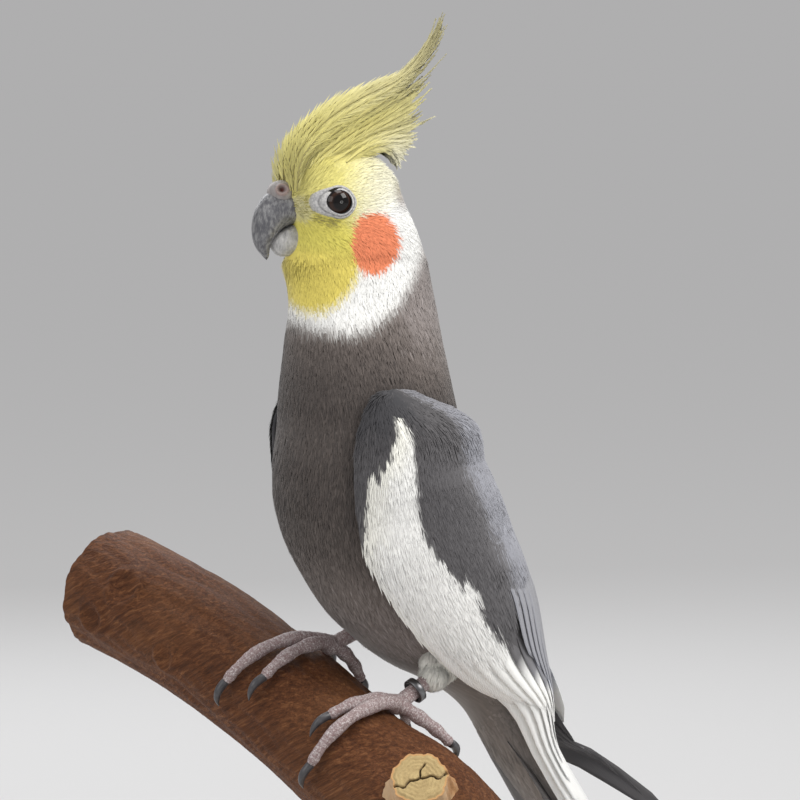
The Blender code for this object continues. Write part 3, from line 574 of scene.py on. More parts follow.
def vanes(name, path, side, out, half, marks, uv, camber=0.25, thick=0.32, jag=0.0):
    """Whole feathers: path, side and out hold stations along each feather, half its half widths."""
    n, stations = path.shape[:2]
    cuts = np.array([-1.0, -0.62, -0.22, 0.0, 0.22, 0.62, 1.0])
    columns = len(cuts)
    half = half[..., None] * (1.0 + jag * rng.normal(0, 1, (n, stations, columns)))
    centre = path[:, :, None, :] + side[:, :, None, :] * (cuts * half)[..., None]
    ridge = np.exp(-(cuts / 0.12) ** 2) * 0.07
    crown = (1.0 - cuts ** 2) * camber + ridge
    top = centre + out[:, :, None, :] * crown[None, None, :, None]
    low = centre + out[:, :, None, :] * (crown - ridge - thick)[None, None, :, None]
    low[:, :, 0] = top[:, :, 0] - out[:, :] * 0.08
    low[:, :, -1] = top[:, :, -1] - out[:, :] * 0.08
    points = np.concatenate([top.reshape(n, -1, 3), low.reshape(n, -1, 3)], 1)
    size = stations * columns
    upper = grid_faces(stations, columns)
    lower = upper[:, ::-1] + size
    rim = list(range(columns)) + [r * columns + columns - 1 for r in range(1, stations)]
    rim += [(stations - 1) * columns + c for c in range(columns - 2, -1, -1)]
    rim += [r * columns for r in range(stations - 2, 0, -1)]
    rim = np.array(rim)
    after = np.roll(rim, -1)
    wall = np.concatenate([np.stack([rim, rim + size, after + size], -1), np.stack([rim, after + size, after], -1)])
    local = np.concatenate([upper, lower, wall])
    faces = (np.arange(n)[:, None, None] * size * 2 + local[None]).reshape(-1, 3)
    t = np.linspace(0, 1, stations)
    places = np.stack(np.meshgrid(t, cuts, indexing="ij"), -1).reshape(-1, 2)
    places = np.concatenate([places, places])
    vane = np.concatenate([np.tile(places[None], (n, 1, 1)), np.repeat(rng.random((n, 1, 1)), size * 2, 1)], -1)
    if marks.ndim == 2:
        marks = np.repeat(marks[:, None], size * 2, 1)
    else:
        marks = np.concatenate([marks.reshape(n, -1, 4)] * 2, 1)
    patch = uv[:, None, :2] + places[None, :, ::-1] * uv[:, None, 2:]
    return build(name, points.reshape(-1, 3), faces, marks.reshape(-1, 4), vane.reshape(-1, 3),
                 patch.reshape(-1, 2))


# %% [markdown]
# ## The wing sheet
#
# Each folded wing is a curved sheet from the bend down to its tip. A place on it is a row and a share of
# the way from its front to its back edge.

# %% Wing sheet
WING_ROWS = (
    (209.4, (20.4, -13.6), (20.9, -12.6), (20.4, -11.2)),
    (207.6, (20.2, -18.0), (21.8, -11.5), (18.6, -3.6)),
    (200.0, (20.2, -22.4), (24.4, -4.0), (9.5, 15.0)),
    (190.0, (20.6, -23.8), (25.4, -2.2), (5.2, 21.4)),
    (180.0, (20.6, -23.2), (25.4, 1.0), (3.9, 26.8)),
    (167.5, (21.0, -20.4), (24.4, 6.0), (3.5, 32.0)),
    (155.0, (20.0, -11.8), (22.2, 11.8), (3.2, 36.4)),
    (142.5, (18.2, 0.4), (19.0, 19.4), (3.0, 39.4)),
    (130.0, (15.4, 20.3), (15.0, 31.0), (3.4, 41.4)),
    (117.0, (13.4, 31.2), (12.6, 36.8), (5.0, 41.8)),
    (105.0, (12.2, 40.0), (11.4, 44.0), (6.4, 47.2)),
    (84.0, (7.0, 59.0), (7.0, 59.5), (6.8, 60.0)),
)
FAR_ROWS = (5.0, 6.0, 7.0, 8.0, 9.0, 10.0)
FAR_BACK = (0.0, 1.0, 5.0, 13.0, 20.0, 26.0)
FAR_UP = (0.0, -0.5, -1.5, -1.5, 3.5, 8.0)
FAR_BEND = (1.0, 3.4)
FIRST_WING = -1.0
LAST_WING = 10.0
WHITE_FROM = ((0.5, 0.7, 1.0, 1.5, 2.0, 2.3, 2.9, 3.6, 4.3, 11.0),
              (0.26, 0.225, 0.20, 0.19, 0.15, 0.075, 0.055, 0.04, -0.05, -0.05))
WHITE_TO = ((0.5, 0.7, 1.3, 1.9, 2.4, 2.9, 3.6, 4.05, 4.5, 4.8, 5.3, 5.6, 6.1, 6.6, 7.0, 7.4, 11.0),
            (0.20, 0.235, 0.275, 0.30, 0.30, 0.28, 0.285, 0.32, 0.39, 0.48, 0.42, 0.46, 0.54, 0.62, 0.75, 1.2, 1.2))


def wing_lines(sign):
    lines = []
    for column in range(3):
        line = []
        for k, row in enumerate(WING_ROWS):
            x, y = row[column + 1]
            z = row[0]
            if sign < 0:
                y += np.interp(k - 1, FAR_ROWS, FAR_BACK)
                z += np.interp(k - 1, FAR_ROWS, FAR_UP)
                bend = max(0.0, 1.0 - abs(k - 1.5) / 3.0) * (1.0 - column / 2)
                x += FAR_BEND[0] * bend
                y -= FAR_BEND[1] * bend
            line.append((sign * x, y, z))
        lines.append(np.array(line))
    return lines


def wing_at(lines, row, across):
    lead, crown, trail = (curve_at(line, np.asarray(row) + 1.0) for line in lines)
    pull = crown * 2 - (lead + trail) / 2
    a = np.asarray(across)[..., None]
    return lead * (1 - a) ** 2 + pull * 2 * a * (1 - a) + trail * a ** 2


def wing_frame(lines, row, across, sign):
    """Point, outward normal and direction towards the tip."""
    here = wing_at(lines, row, across)
    down = (wing_at(lines, np.minimum(row + 0.05, LAST_WING), across)
            - wing_at(lines, np.maximum(row - 0.05, FIRST_WING), across))
    rear = wing_at(lines, row, across + 0.02) - wing_at(lines, row, across - 0.02)
    out = unit(np.cross(down, rear)) * sign
    return here, out, unit(down)


def wing_marks(row, across, ragged=1.0):
    """White patch, dark coverts and paler scapulars of the wing."""
    n = rng.normal(0.0, 1.0, (2,) + np.shape(row)) * ragged
    step_r = np.floor(row * 2.6 + 0.5 * (np.floor(across * 18.0) % 2))
    r = np.where(ragged > 0, 0.35 * row + 0.65 * (step_r + 0.5) / 2.6, row) + 0.04 * n[0]
    a = across + 0.006 * n[1] + 0.018 * np.sin(step_r * 12.9 + 4.1)
    low = np.interp(r, *WHITE_FROM)
    high = np.interp(r, *WHITE_TO)
    white = smooth(low - 0.010, low + 0.014, a) * smooth(high + 0.016, high - 0.012, a) * smooth(0.45, 0.65, r)
    band = np.interp(r, (0.0, 1.0, 3.0, 5.0, 7.0), (0.55, 0.56, 0.60, 0.68, 0.80))
    tone = 0.68 + 0.06 * smooth(0.75, 0.45, a) * smooth(1.0, 3.0, r)
    tone = tone + 0.26 * smooth(2.6, 0.4, r) * smooth(0.5, 0.2, a) + 0.16 * smooth(1.6, 0.2, r)
    tone = tone - 0.36 * smooth(band, band + 0.14, a + 0.03 * n[1])
    tone = tone - 0.20 * smooth(5.6, 7.2, r) * smooth(0.5, 0.75, a)
    tone = tone + 0.03 * rng.normal(0, 1, np.shape(row))
    cream = 0.10 * white * smooth(low + 0.14, low, a)
    return np.stack([cream, np.zeros_like(tone), white, np.clip(tone, 0.05, 0.95)], -1)


def wing_height(row, across):
    """How far the covert surface stands off the sheet."""
    edge = 1.0 - np.abs(2 * np.clip(across, 0, 1) - 1) ** 5
    return edge * (0.5 + 1.8 * smooth(-0.9, 1.2, row)) * (1.0 - smooth(4.6, 7.2, row) * 0.85)


# %% [markdown]
# ## Soft plumage of head, neck and body
#
# Roots are strewn along rings with some scatter. The lie follows the body: back from the bill on the
# face, up towards the crest on the brow, and straight down on neck and breast.

# %% Body plumage
REGIONS = (
    # name, first row, last row, spacing round, spacing down, length, width, lift
    ("coat_head", 0.06, 5.2, 0.31, 0.38, 2.8, 0.40, 0.20),
    ("coat_face", 5.2, 7.6, 0.33, 0.43, 3.1, 0.43, 0.20),
    ("coat_neck", 7.6, 10.0, 0.40, 0.58, 4.0, 0.50, 0.27),
    ("coat_breast", 10.0, 12.9, 0.44, 0.65, 4.6, 0.56, 0.30),
    ("coat_belly", 12.9, 18.6, 0.46, 0.70, 4.8, 0.60, 0.30),
    ("coat_undertail", 18.6, 21.6, 0.62, 0.95, 7.0, 0.80, 0.40),
)
near_lines = wing_lines(1)
far_lines = wing_lines(-1)


def hidden_by_wing(p):
    """True where a body root lies under a folded wing."""
    z = p[:, 2]
    order = np.argsort([row[0] for row in WING_ROWS])
    heights = np.array([row[0] for row in WING_ROWS])[order]
    front = np.interp(z, heights, np.array([row[1][1] for row in WING_ROWS])[order])
    rear_x = np.interp(z, heights, np.array([row[3][0] for row in WING_ROWS])[order])
    return (z < 207.0) & (z > 120.0) & (p[:, 1] > front + 5.0) & (np.abs(p[:, 0]) > rear_x + 3.0)


def scatter(first, last, spacing, step):
    """Roots as rows and angles with even spacing over the body."""
    rows_t = []
    t = first
    while t < last:
        rows_t.append(t)
        speed = np.linalg.norm(body_at(np.array(t + 0.01), np.array(math.pi / 2))
                               - body_at(np.array(t - 0.01), np.array(math.pi / 2))) / 0.02
        t += step / max(speed, 2.0)
    tt, aa = [], []
    for k, t in enumerate(rows_t):
        depth, width = curve_at(BODY, np.array(t))[3:5]
        round_ = math.pi * (3 * (depth + width) - math.sqrt((3 * depth + width) * (depth + 3 * width)))
        n = max(6, int(round_ / spacing))
        aa.append((np.arange(n) + 0.5 * (k % 2)) / n * math.tau + rng.normal(0, 0.22, n) * math.tau / n)
        tt.append(np.full(n, t) + rng.normal(0, 0.25, n) * (rows_t[1] - rows_t[0]))
    return np.clip(np.concatenate(tt), 0.02, LAST_ROW - 0.02), np.concatenate(aa)


total = 0
for name, first, last, spacing, step, length, width, lift in REGIONS:
    t, a = scatter(first, last, spacing, step)
    p, out, down = body_frame(t, a)
    x, s, z = to_head(p)
    keep = ~hidden_by_wing(p)
    keep &= ~((np.abs(x) < 4.0) & (s < -15.0) & (z > 242.0) & (z < 258.0))
    ahead = np.maximum(EYE[0] - s, 0.0)
    bare = ((s - EYE[0]) / np.where(s < EYE[0], 7.4, 4.0)) ** 2 + ((z - EYE[1]) / (4.0 - 0.30 * ahead)) ** 2 < 1.0
    keep &= ~(bare & (np.abs(x) > 5.0))
    t, a, p, out, down, s, z = (v[keep] for v in (t, a, p, out, down, s, z))
    crown = np.interp(s, (-20.0, -12.0, -4.0, 4.0, 10.0, 16.0), (66.0, 48.0, 30.0, 8.0, -30.0, -66.0))
    face = np.interp(z, (232.0, 240.0, 246.0, 252.0, 258.0), (-90.0, -78.0, -48.0, -12.0, 16.0))
    share = smooth(254.0, 263.0, z)
    slope = np.radians(crown * share + face * (1 - share))
    lie = head_dir(0.0, np.cos(slope), np.sin(slope))
    lie = np.where((z < 232.0)[:, None], down, lie) + rng.normal(0, 0.07, p.shape)
    lie = unit(lie - out * np.sum(lie * out, -1, keepdims=True))
    n = len(p)
    total += n
    marks = markings(p + lie * length * 0.5)
    uv = np.stack([(a / math.tau) % 1.0, 1 - t / LAST_ROW], -1) * 0.96 + 0.02
    to_eye = np.hypot((s - EYE[0]) / np.where(s < EYE[0], 7.4, 4.0), (z - EYE[1]) / 4.0)
    crown = smooth(258.0, 264.0, z) * smooth(-8.0, 0.0, s)
    brow = smooth(256.0, 260.0, z) * smooth(-9.0, -14.0, s)
    size = (0.45 + 0.55 * smooth(1.0, 1.6, to_eye)) * (1.0 + 0.8 * crown + 1.1 * brow)
    coat = blades(name, p - out * SKIN_UNDER, lie, out, length * size * rng.uniform(0.75, 1.2, n),
                  width * rng.uniform(0.8, 1.25, n), lift * (1.0 + 1.6 * crown + 2.4 * brow) * rng.uniform(0.8, 1.2, n), marks, uv,
                  rng.normal(0, 0.35, n), ridge=0.06)
    settle(coat, soft_plumage, "plumage")
print("body plumage has", total, "blades")

# %% [markdown]
# ## Wings
#
# A closed shell carries the coverts, soft blades cover it, and the long feathers of the arm and hand
# come out from under them in two tiers.

# %% Wing shells and coverts


def wing_shell(lines, sign):
    rows_n, across_n = 80, 30
    r, a = np.meshgrid(np.linspace(FIRST_WING, 7.0, rows_n), np.linspace(0.0, 1.0, across_n), indexing="ij")
    here, out, _ = wing_frame(lines, r, a, sign)
    top = here + out * (wing_height(r, a) - 0.5)[..., None]
    low = here - out * 1.4
    points = np.concatenate([top.reshape(-1, 3), low.reshape(-1, 3)])
    upper = grid_faces(rows_n, across_n)
    size = rows_n * across_n
    rim = list(range(across_n)) + [k * across_n + across_n - 1 for k in range(1, rows_n)]
    rim += [(rows_n - 1) * across_n + c for c in range(across_n - 2, -1, -1)]
    rim += [k * across_n for k in range(rows_n - 2, 0, -1)]
    rim = np.array(rim)
    after = np.roll(rim, -1)
    wall = np.concatenate([np.stack([rim, rim + size, after + size], -1), np.stack([rim, after + size, after], -1)])
    faces = np.concatenate([upper, upper[:, ::-1] + size, wall])
    if sign > 0:
        faces = faces[:, ::-1]
    marks = wing_marks(r, a, 0.0).reshape(-1, 4)
    # The shell is painted a little darker grey than its coverts: painted shade in the gaps between them.
    marks[:, 3] = np.clip(marks[:, 3] + 0.06, 0, 1)
    vane = np.tile([0.3, 0.0, 0.5], (2 * size, 1))
    uv = np.stack([a.ravel(), 1 - r.ravel() / 10.0], -1) * 0.96 + 0.02
    return points, faces, np.concatenate([marks, marks]), vane, np.concatenate([uv, uv])


def wing_coverts(lines, sign):
    spacing = 0.47
    rows_list = np.concatenate([np.arange(-0.98, 1.0, 0.068), np.arange(1.0, 6.4, 0.055)])
    rr, ac = [], []
    for k, row in enumerate(rows_list):
        strip = wing_at(lines, np.full(9, row), np.linspace(0, 1, 9))
        wide = np.linalg.norm(np.diff(strip, axis=0), axis=1).sum()
        n = max(4, int(wide / spacing))
        ac.append((np.arange(n) + 0.5 + 0.5 * (k % 2) + rng.normal(0, 0.22, n)) / n)
        rr.append(np.full(n, row) + rng.normal(0, 0.02, n))
    row = np.concatenate(rr)
    across = np.clip(np.concatenate(ac), 0.01, 0.99)
    edge = np.interp(across, (0.0, 0.3, 0.6, 0.74, 1.0), (6.0, 6.2, 5.3, 4.5, 4.0))
    keep = row < edge
    row, across = row[keep], across[keep]
    here, out, down = wing_frame(lines, row, across, sign)
    n = len(row)
    lie = unit(down + rng.normal(0, 0.05, down.shape))
    lie = unit(lie - out * np.sum(lie * out, -1, keepdims=True))
    long = np.interp(row, (-1.0, 0.0, 2.0, 6.0), (3.0, 4.0, 5.5, 8.0)) * rng.uniform(0.8, 1.15, n)
    wide = np.interp(row, (0.0, 2.0, 6.0), (0.48, 0.58, 0.78)) * rng.uniform(0.8, 1.2, n)
    tip_row = row + long / 11.5 * 0.6
    marks = wing_marks(tip_row, across, 0.8)
    over_vanes = 0.45 * smooth(3.4, 4.0, row) * smooth(0.55, 0.68, across)
    root = here + out * (wing_height(row, across) - 0.5 + over_vanes)[:, None]
    uv = np.stack([across, 1 - row / 10.0], -1) * 0.96 + 0.02
    return root, lie, out, long, wide, marks, uv


for side, sign, lines in (("left", 1, near_lines), ("right", -1, far_lines)):
    shell = build("wing_shell_" + side, *wing_shell(lines, sign))
    settle(shell, wing_plumage, "plumage", "wing_" + side)
    root, lie, out, long, wide, marks, uv = wing_coverts(lines, sign)
    coat = blades("coverts_" + side, root, lie, out, long, wide, 0.42, marks, uv, rng.normal(0, 0.2, len(root)))
    settle(coat, wing_plumage, "plumage")
    print("wing", side, "has", len(root), "covert blades")

# %% Flight feathers
FLIGHT = (
    # tier, count, root rows, tip rows, share across, half width, rise
    ("primaries", 6, (5.2, 5.8), (9.95, 8.2), (0.24, 0.84), (4.2, 3.6), (-0.4, 0.2)),
    ("secondaries", 9, (4.0, 3.6), (6.95, 7.6), (0.17, 0.93), (4.8, 5.0), (0.2, 0.5)),
    ("tertials", 5, (3.2, 2.6), (6.3, 7.2), (0.73, 0.94), (3.7, 4.0), (0.05, 0.6)),
)
STATIONS = 15


def flight_tier(lines, sign, count, roots, tips, shares, halves, rises):
    k = np.linspace(0, 1, count)
    root = roots[0] + (roots[1] - roots[0]) * k
    tip = tips[0] + (tips[1] - tips[0]) * k + rng.uniform(-0.06, 0.06, count)
    share = shares[0] + (shares[1] - shares[0]) * k
    half = halves[0] + (halves[1] - halves[0]) * k
    rise = rises[0] + (min(rises[1], 0.5) - rises[0]) * k
    t = np.linspace(0, 1, STATIONS)
    row = root[:, None] + (tip - root)[:, None] * t
    across = np.repeat(share[:, None], STATIONS, 1)
    here, out, down = wing_frame(lines, row, across, sign)
    beside = wing_at(lines, row, across + (shares[1] - shares[0]) / (count - 1)) - wing_at(lines, row, across)
    pitch = np.linalg.norm(beside, axis=-1)
    roll = np.minimum(np.arctan(0.45 / pitch), math.radians(8))[..., None]
    over = unit(np.cross(out, down)) * -sign
    side = over * np.cos(roll) + out * np.sin(roll)
    top = out * np.cos(roll) - over * np.sin(roll)
    high = rise[:, None] * np.minimum(1.0, t / 0.3) - 0.9 * (1 - np.minimum(1.0, t / 0.3))
    if rises[1] > 0.55:
        high = high + wing_height(row, across) - 2.2 * smooth(0.56, 0.15, t)
    path = here + out * high[..., None]
    shape = np.sqrt(np.clip(1 - np.clip((t - 0.72) / 0.28, 0, 1) ** 2.2, 0, 1)) * (0.62 + 0.38 * smooth(0, 0.3, t))
    halfs = half[:, None] * np.maximum(shape, 0.04)[None]
    return row, across, path, side, top, halfs


for side, sign, lines in (("left", 1, near_lines), ("right", -1, far_lines)):
    for index, (tier, count, roots, tips, shares, halves, rises) in enumerate(FLIGHT):
        row, across, path, across_dir, top, halfs = flight_tier(lines, sign, count, roots, tips, shares, halves, rises)
        shape = row.shape
        marks = np.zeros(shape + (7, 4))
        t = np.linspace(0, 1, shape[1])[None, :, None]
        cut = np.array([-1.0, -0.62, -0.22, 0.0, 0.22, 0.62, 1.0])[None, None]
        if tier == "primaries":
            # The near wing's grey primaries are painted almost white: painted sheen of the strong light on them. The
            # far wing's turn dark grey past the middle, so the two wings' primaries are lit and shaded copies.
            marks[..., 2] = 0.92 - 0.35 * smooth(0.7, 1.0, np.abs(cut)) * smooth(0.5, 1.0, t)
            marks[..., 3] = 0.26
            if sign < 0:
                marks[..., 2] *= 1.0 - smooth(0.50, 0.62, t)
                marks[..., 3] = 0.30 + 0.5 * smooth(0.50, 0.62, t)
        elif tier == "secondaries":
            base = wing_marks(np.minimum(row + 0.2, 7.6), across, 0.4)
            marks[:] = base[:, :, None]
            marks[..., 2] = np.maximum(marks[..., 2], 0.0)
        else:
            marks[..., 3] = 0.40 - 0.14 * smooth(0.4, 1.0, np.abs(cut))
            marks[..., 2] = 0.05
        n = shape[0]
        cells = np.stack([0.02 + 0.96 * np.arange(n) / n + 0.03, np.full(n, 0.02), np.full(n, 0.025),
                          np.full(n, 0.95)], -1)
        cells[:, 2] = 0.38 / n
        halfs = halfs * (0.72 if sign < 0 and tier == "primaries" else 1.0)
        piece = vanes("%s_%s" % (tier, side), path, across_dir, top, halfs, marks, cells)
        settle(piece, vane_plumage, "plumage")

# %% [markdown]
# ## Tail
#
# Six pairs of feathers from the middle out, each shorter and lower than the last.

# %% Tail
TAIL_ROOT = np.array([0.0, 30.6, 120.6])
TAIL_TIP = np.array([0.0, 108.0, 8.5])
along = unit(TAIL_TIP - TAIL_ROOT)
reach = np.linalg.norm(TAIL_TIP - TAIL_ROOT)
over = unit(np.cross([1.0, 0.0, 0.0], along))
over = over if over[1] > 0 else -over
paths, sides, tops, halfs, marks = [], [], [], [], []
t = np.linspace(0, 1, 22)
layer = 0
for pair in range(6):
    for sign in (1, -1):
        length = reach * (1.0 - 0.115 * pair * (0.55 + 0.12 * pair)) * (0.93 if pair else 1.0)
        begin = 0.9 * (pair + 0.5)
        finish = 2.5 * (pair + 0.35)
        aside = sign * (begin + (finish - begin) * t * t)
        path = TAIL_ROOT + along * (length * t)[:, None] + over * (2.2 - 0.95 * layer)
        path = path + np.array([1.0, 0, 0]) * aside[:, None]
        paths.append(path)
        sides.append(np.tile([float(sign), 0, 0], (len(t), 1)))
        tops.append(np.tile(over, (len(t), 1)))
        taper = np.clip((t - 0.45) / 0.55, 0, 1) ** 1.6
        halfs.append(4.5 * (0.6 + 0.4 * smooth(0, 0.2, t)) * np.maximum(1 - taper, 0.03))
        cut = np.array([-1.0, -0.62, -0.22, 0.0, 0.22, 0.62, 1.0])
        mark = np.zeros((len(t), 7, 4))
        if pair < 2:
            mark[..., 3] = 0.34 + 0.12 * (cut == 0)
            mark[..., 2] = 0.12
        else:
            mark[..., 3] = 0.80
            mark[..., 2] = 0.0
        marks.append(mark)
        if pair < 2 or sign < 0:
            layer += 1
n = len(paths)
cells = np.stack([0.05 + 0.9 * np.arange(n) / n, np.full(n, 0.02), np.full(n, 0.3 / n), np.full(n, 0.95)], -1)
tail = vanes("tail_feathers", np.array(paths), np.array(sides), np.array(tops), np.array(halfs), np.array(marks), cells,
             camber=0.5)
settle(tail, vane_plumage, "plumage", "tail")

# %% [markdown]
# ## Crest
#
# Each crest feather has a thin shaft and two combs of loose barbs. The front ones are yellow and long,
# the rear ones short, pale and curled.

# %% Crest
CREST_LINES = np.array((
    ((-18.6, 258.6), (-18.2, 267.6), (-11.8, 275.0), (-5.2, 279.4), (2.9, 283.0), (11.4, 286.2), (16.4, 290.4),
     (19.8, 295.4), (21.8, 301.2)),
    ((-16.6, 262.4), (-14.2, 268.6), (-9.6, 272.3), (-5.0, 274.9), (0.5, 277.6), (6.2, 280.6), (12.2, 285.1),
     (18.2, 290.6), (22.6, 296.2)),
    ((-13.0, 265.5), (-9.6, 267.0), (-6.0, 268.9), (-2.0, 270.9), (2.9, 273.2), (7.2, 275.3), (11.2, 277.4),
     (14.6, 279.4), (18.0, 282.2)),
    ((-6.0, 267.0), (-3.0, 268.2), (0.2, 269.2), (3.2, 269.7), (6.0, 269.9), (8.6, 269.9), (11.0, 270.0),
     (13.4, 270.4), (16.0, 271.2)),
    ((-1.0, 266.8), (1.2, 267.9), (3.2, 268.5), (5.0, 268.6), (6.6, 268.1), (7.9, 267.2), (9.0, 265.9),
     (9.8, 264.4), (10.4, 262.6)),
))
CREST_COUNT = 84
BARBS = 62
WISPS = {1: 1.06, 4: 1.10, 18: 1.12, 31: 1.18, 43: 1.10, 57: 1.34, 66: 1.12}

crest = {key: [] for key in ("root", "lie", "out", "length", "width", "marks", "uv", "curl", "facing")}
shafts = []
for k in range(CREST_COUNT):
    part = (k + 0.5) / CREST_COUNT
    lateral = (0.0, 1.0, -1.0, 0.5, -0.5)[k % 5] + rng.normal(0, 0.10)
    lines_at = curve_at(CREST_LINES.transpose(1, 0, 2).reshape(9, -1), np.linspace(0, 8, 90)).reshape(90, 5, 2)
    curve = curve_at(lines_at.transpose(1, 0, 2).reshape(5, -1), np.array(part * 4.0)).reshape(90, 2)
    t_line = np.linspace(0, 1, 90)
    curve = curve + rng.normal(0, 0.55, 2) * t_line[:, None] ** 2
    stretch = WISPS.get(k, rng.uniform(0.88 + 0.08 * (part < 0.3), 1.0))
    t = np.linspace(0.03, 0.985, BARBS)
    if stretch > 1.0:
        curve = curve + (curve[-1] - curve[-12]) * (stretch - 1.0) * 3.0 * t_line[:, None] ** 6
    at = curve_at(curve, t * min(stretch, 1.0) * 89)
    step = unit(np.gradient(at, axis=0))
    spread = lateral * (6.4 * (1 - t) ** 1.5 + 1.0) * (1.0 - 0.25 * part)
    centre = from_head(spread, at[:, 0], at[:, 1] - 0.055 * spread ** 2)
    tangent = head_dir(0.0, step[:, 0], step[:, 1])
    normal = head_dir(0.0, -step[:, 1], step[:, 0])
    wide = head_dir(1.0, 0.0, 0.0)
    roll = math.radians(66) * (1 if lateral > 0.1 else -1 if lateral < -0.1 else rng.choice([-1, 1]))
    roll += rng.normal(0, 0.14)
    side = wide * math.cos(roll) + normal * math.sin(roll)
    out = unit(np.cross(tangent, side))
    for hand in (1, -1):
        angle = np.radians(24 - 12 * t + 10 * part)[:, None]
        lie = unit(tangent * np.cos(angle) + side * hand * np.sin(angle) + rng.normal(0, 0.035, tangent.shape))
        long = (5.6 - 2.0 * part) * np.sin(math.pi * np.clip(0.12 + 0.86 * t, 0, 1) ** 0.85) ** 0.6
        long = long * rng.uniform(0.85, 1.15, BARBS) * np.where(t > 0.75, 1.0 - (t - 0.75) * 2.0, 1.0)
        crest["root"].append(centre)
        crest["lie"].append(lie)
        crest["out"].append(out)
        crest["facing"].append(unit(normal * 0.8 + wide * (0.55 if lateral > -0.2 else -0.05)) + side * hand * 0.12)
        crest["length"].append(np.maximum(long, 0.8))
        crest["width"].append(np.full(BARBS, 0.46) * (1.0 - 0.4 * t))
        height = smooth(272.0, 292.0, at[:, 1])
        pale = smooth(0.45, 0.95, part) * smooth(0.1, 0.7, t)
        yellow = np.clip(0.82 - 0.40 * height - 0.46 * pale, 0.05, 1)
        white = np.clip(0.80 + 0.20 * pale - 0.55 * height + 0.15 * (hand < 0), 0, 0.96)
        tone = np.clip(0.26 + 0.24 * height + rng.normal(0, 0.05, BARBS), 0, 1)
        crest["marks"].append(np.stack([yellow, np.zeros(BARBS), white, tone], -1))
        crest["uv"].append(np.stack([0.40 + 0.2 * (lateral + 1) / 2 + 0 * t, 0.985 - 0.10 * part + 0 * t], -1))
        crest["curl"].append(rng.normal(0.0, 0.25, BARBS) + 0.35 * hand)
    points, faces = tube("shaft", centre[::4], np.linspace(0.20, 0.05, len(t[::4])), 5)
    shafts.append((points, faces))
joined = {key: np.concatenate(value) for key, value in crest.items()}
piece = blades("crest_barbs", joined["root"], joined["lie"], joined["out"], joined["length"], joined["width"], 0.12,
               joined["marks"], joined["uv"], joined["curl"], sink=0.02, ridge=0.12,
               facing=joined["facing"])
settle(piece, soft_plumage, "plumage", "crest")
points = np.concatenate([p for p, _ in shafts])
offsets = np.cumsum([0] + [len(p) for p, _ in shafts[:-1]])
faces = np.concatenate([f + o for (_, f), o in zip(shafts, offsets)])
marks = np.tile([0.35, 0.0, 0.0, 0.62], (len(points), 1))
piece = build("crest_shafts", points, faces, marks, np.tile([0.3, 0.0, 0.4], (len(points), 1)),
              np.tile([0.5, 0.97], (len(points), 1)))
settle(piece, soft_plumage, "plumage")
print("crest has", len(joined["root"]), "barbs")

# %% [markdown]
# ## Eyes and bare skin round them
#
# The eye is a ball behind a ring of fine grey beads. Dark pupil, brown iris, wet surface.

# %% Eye materials
EYE_X, EYE_S, EYE_Z = 8.7, -7.4, 255.0
EYE_BALL = 4.1
eye_material, tree, shader = new_material("eye", 0.06)
shader.inputs["Specular IOR Level"].default_value = 0.35
gaze = add(tree, "Attribute", attribute_name="vane")
ramp = add(tree, "ValToRGB", {"Fac": add(tree, "SeparateXYZ", {"Vector": gaze.outputs["Vector"]}).outputs["X"]})
stops = ramp.color_ramp.elements
stops[0].position = 0.0
stops[0].color = (0.004, 0.003, 0.003, 1)
stops[1].position = 1.0
stops[1].color = (0.01, 0.008, 0.007, 1)
for at, colour in ((0.44, (0.003, 0.002, 0.002, 1)), (0.50, (0.020, 0.009, 0.006, 1)),
                   (0.63, (0.040, 0.018, 0.011, 1)), (0.70, (0.006, 0.004, 0.004, 1))):
    stop = stops.new(at)
    stop.color = colour
tree.links.new(ramp.outputs["Color"], shader.inputs["Base Color"])

lid_material, tree, shader = new_material("bare eye ring", 0.5)
place = add(tree, "TexCoord")
beads = add(tree, "TexVoronoi", {"Vector": place.outputs["Object"], "Scale": 1700.0})
colour = blend(tree, beads.outputs["Distance"], (0.74, 0.73, 0.72), (0.36, 0.36, 0.37))
ring_place = add(tree, "Attribute", attribute_name="vane")
lid_bands_and_painted_shade = add(tree, "ValToRGB", {"Fac": add(tree, "SeparateXYZ", {"Vector": ring_place.outputs["Vector"]}).outputs["X"]})
stops = lid_bands_and_painted_shade.color_ramp.elements
stops[0].position = 0.0
stops[0].color = (0.05, 0.05, 0.05, 1)
stops[1].position = 1.0
stops[1].color = (0.80, 0.78, 0.66, 1)
# The ramp paints the inner edge against the eye and the crease in the middle of the ring dark: painted shade. The cream
# of the outer rim is the skin's own colour.
for at, level in ((0.10, 0.12), (0.17, 1.0), (0.40, 0.95), (0.50, 0.50), (0.60, 0.90), (0.85, 0.85)):
    stop = stops.new(at)
    stop.color = (level, level, level, 1)
colour = blend(tree, 1.0, colour, lid_bands_and_painted_shade.outputs["Color"], "MULTIPLY")
tree.links.new(colour, shader.inputs["Base Color"])
bump = add(tree, "Bump", {"Strength": 0.6, "Distance": 0.0002, "Height": beads.outputs["Distance"]})
bump.invert = True
tree.links.new(bump.outputs["Normal"], shader.inputs["Normal"])

# %% Eyes


def head_side(s, z):
    """How far out the head's side lies at a place of its profile."""
    heights = BODY[::-1, 0]
    index = np.interp(z, heights, np.arange(len(BODY))[::-1])
    _, cx, cy, depth, width, _ = np.moveaxis(curve_at(BODY, index), -1, 0)
    middle = (cy - HEAD_PIVOT) / math.cos(HEAD_TURN)
    share = np.clip(np.abs((s - middle) / depth), 0, 0.999)
    return width * (1 - share ** 2.15) ** (1 / 2.15)


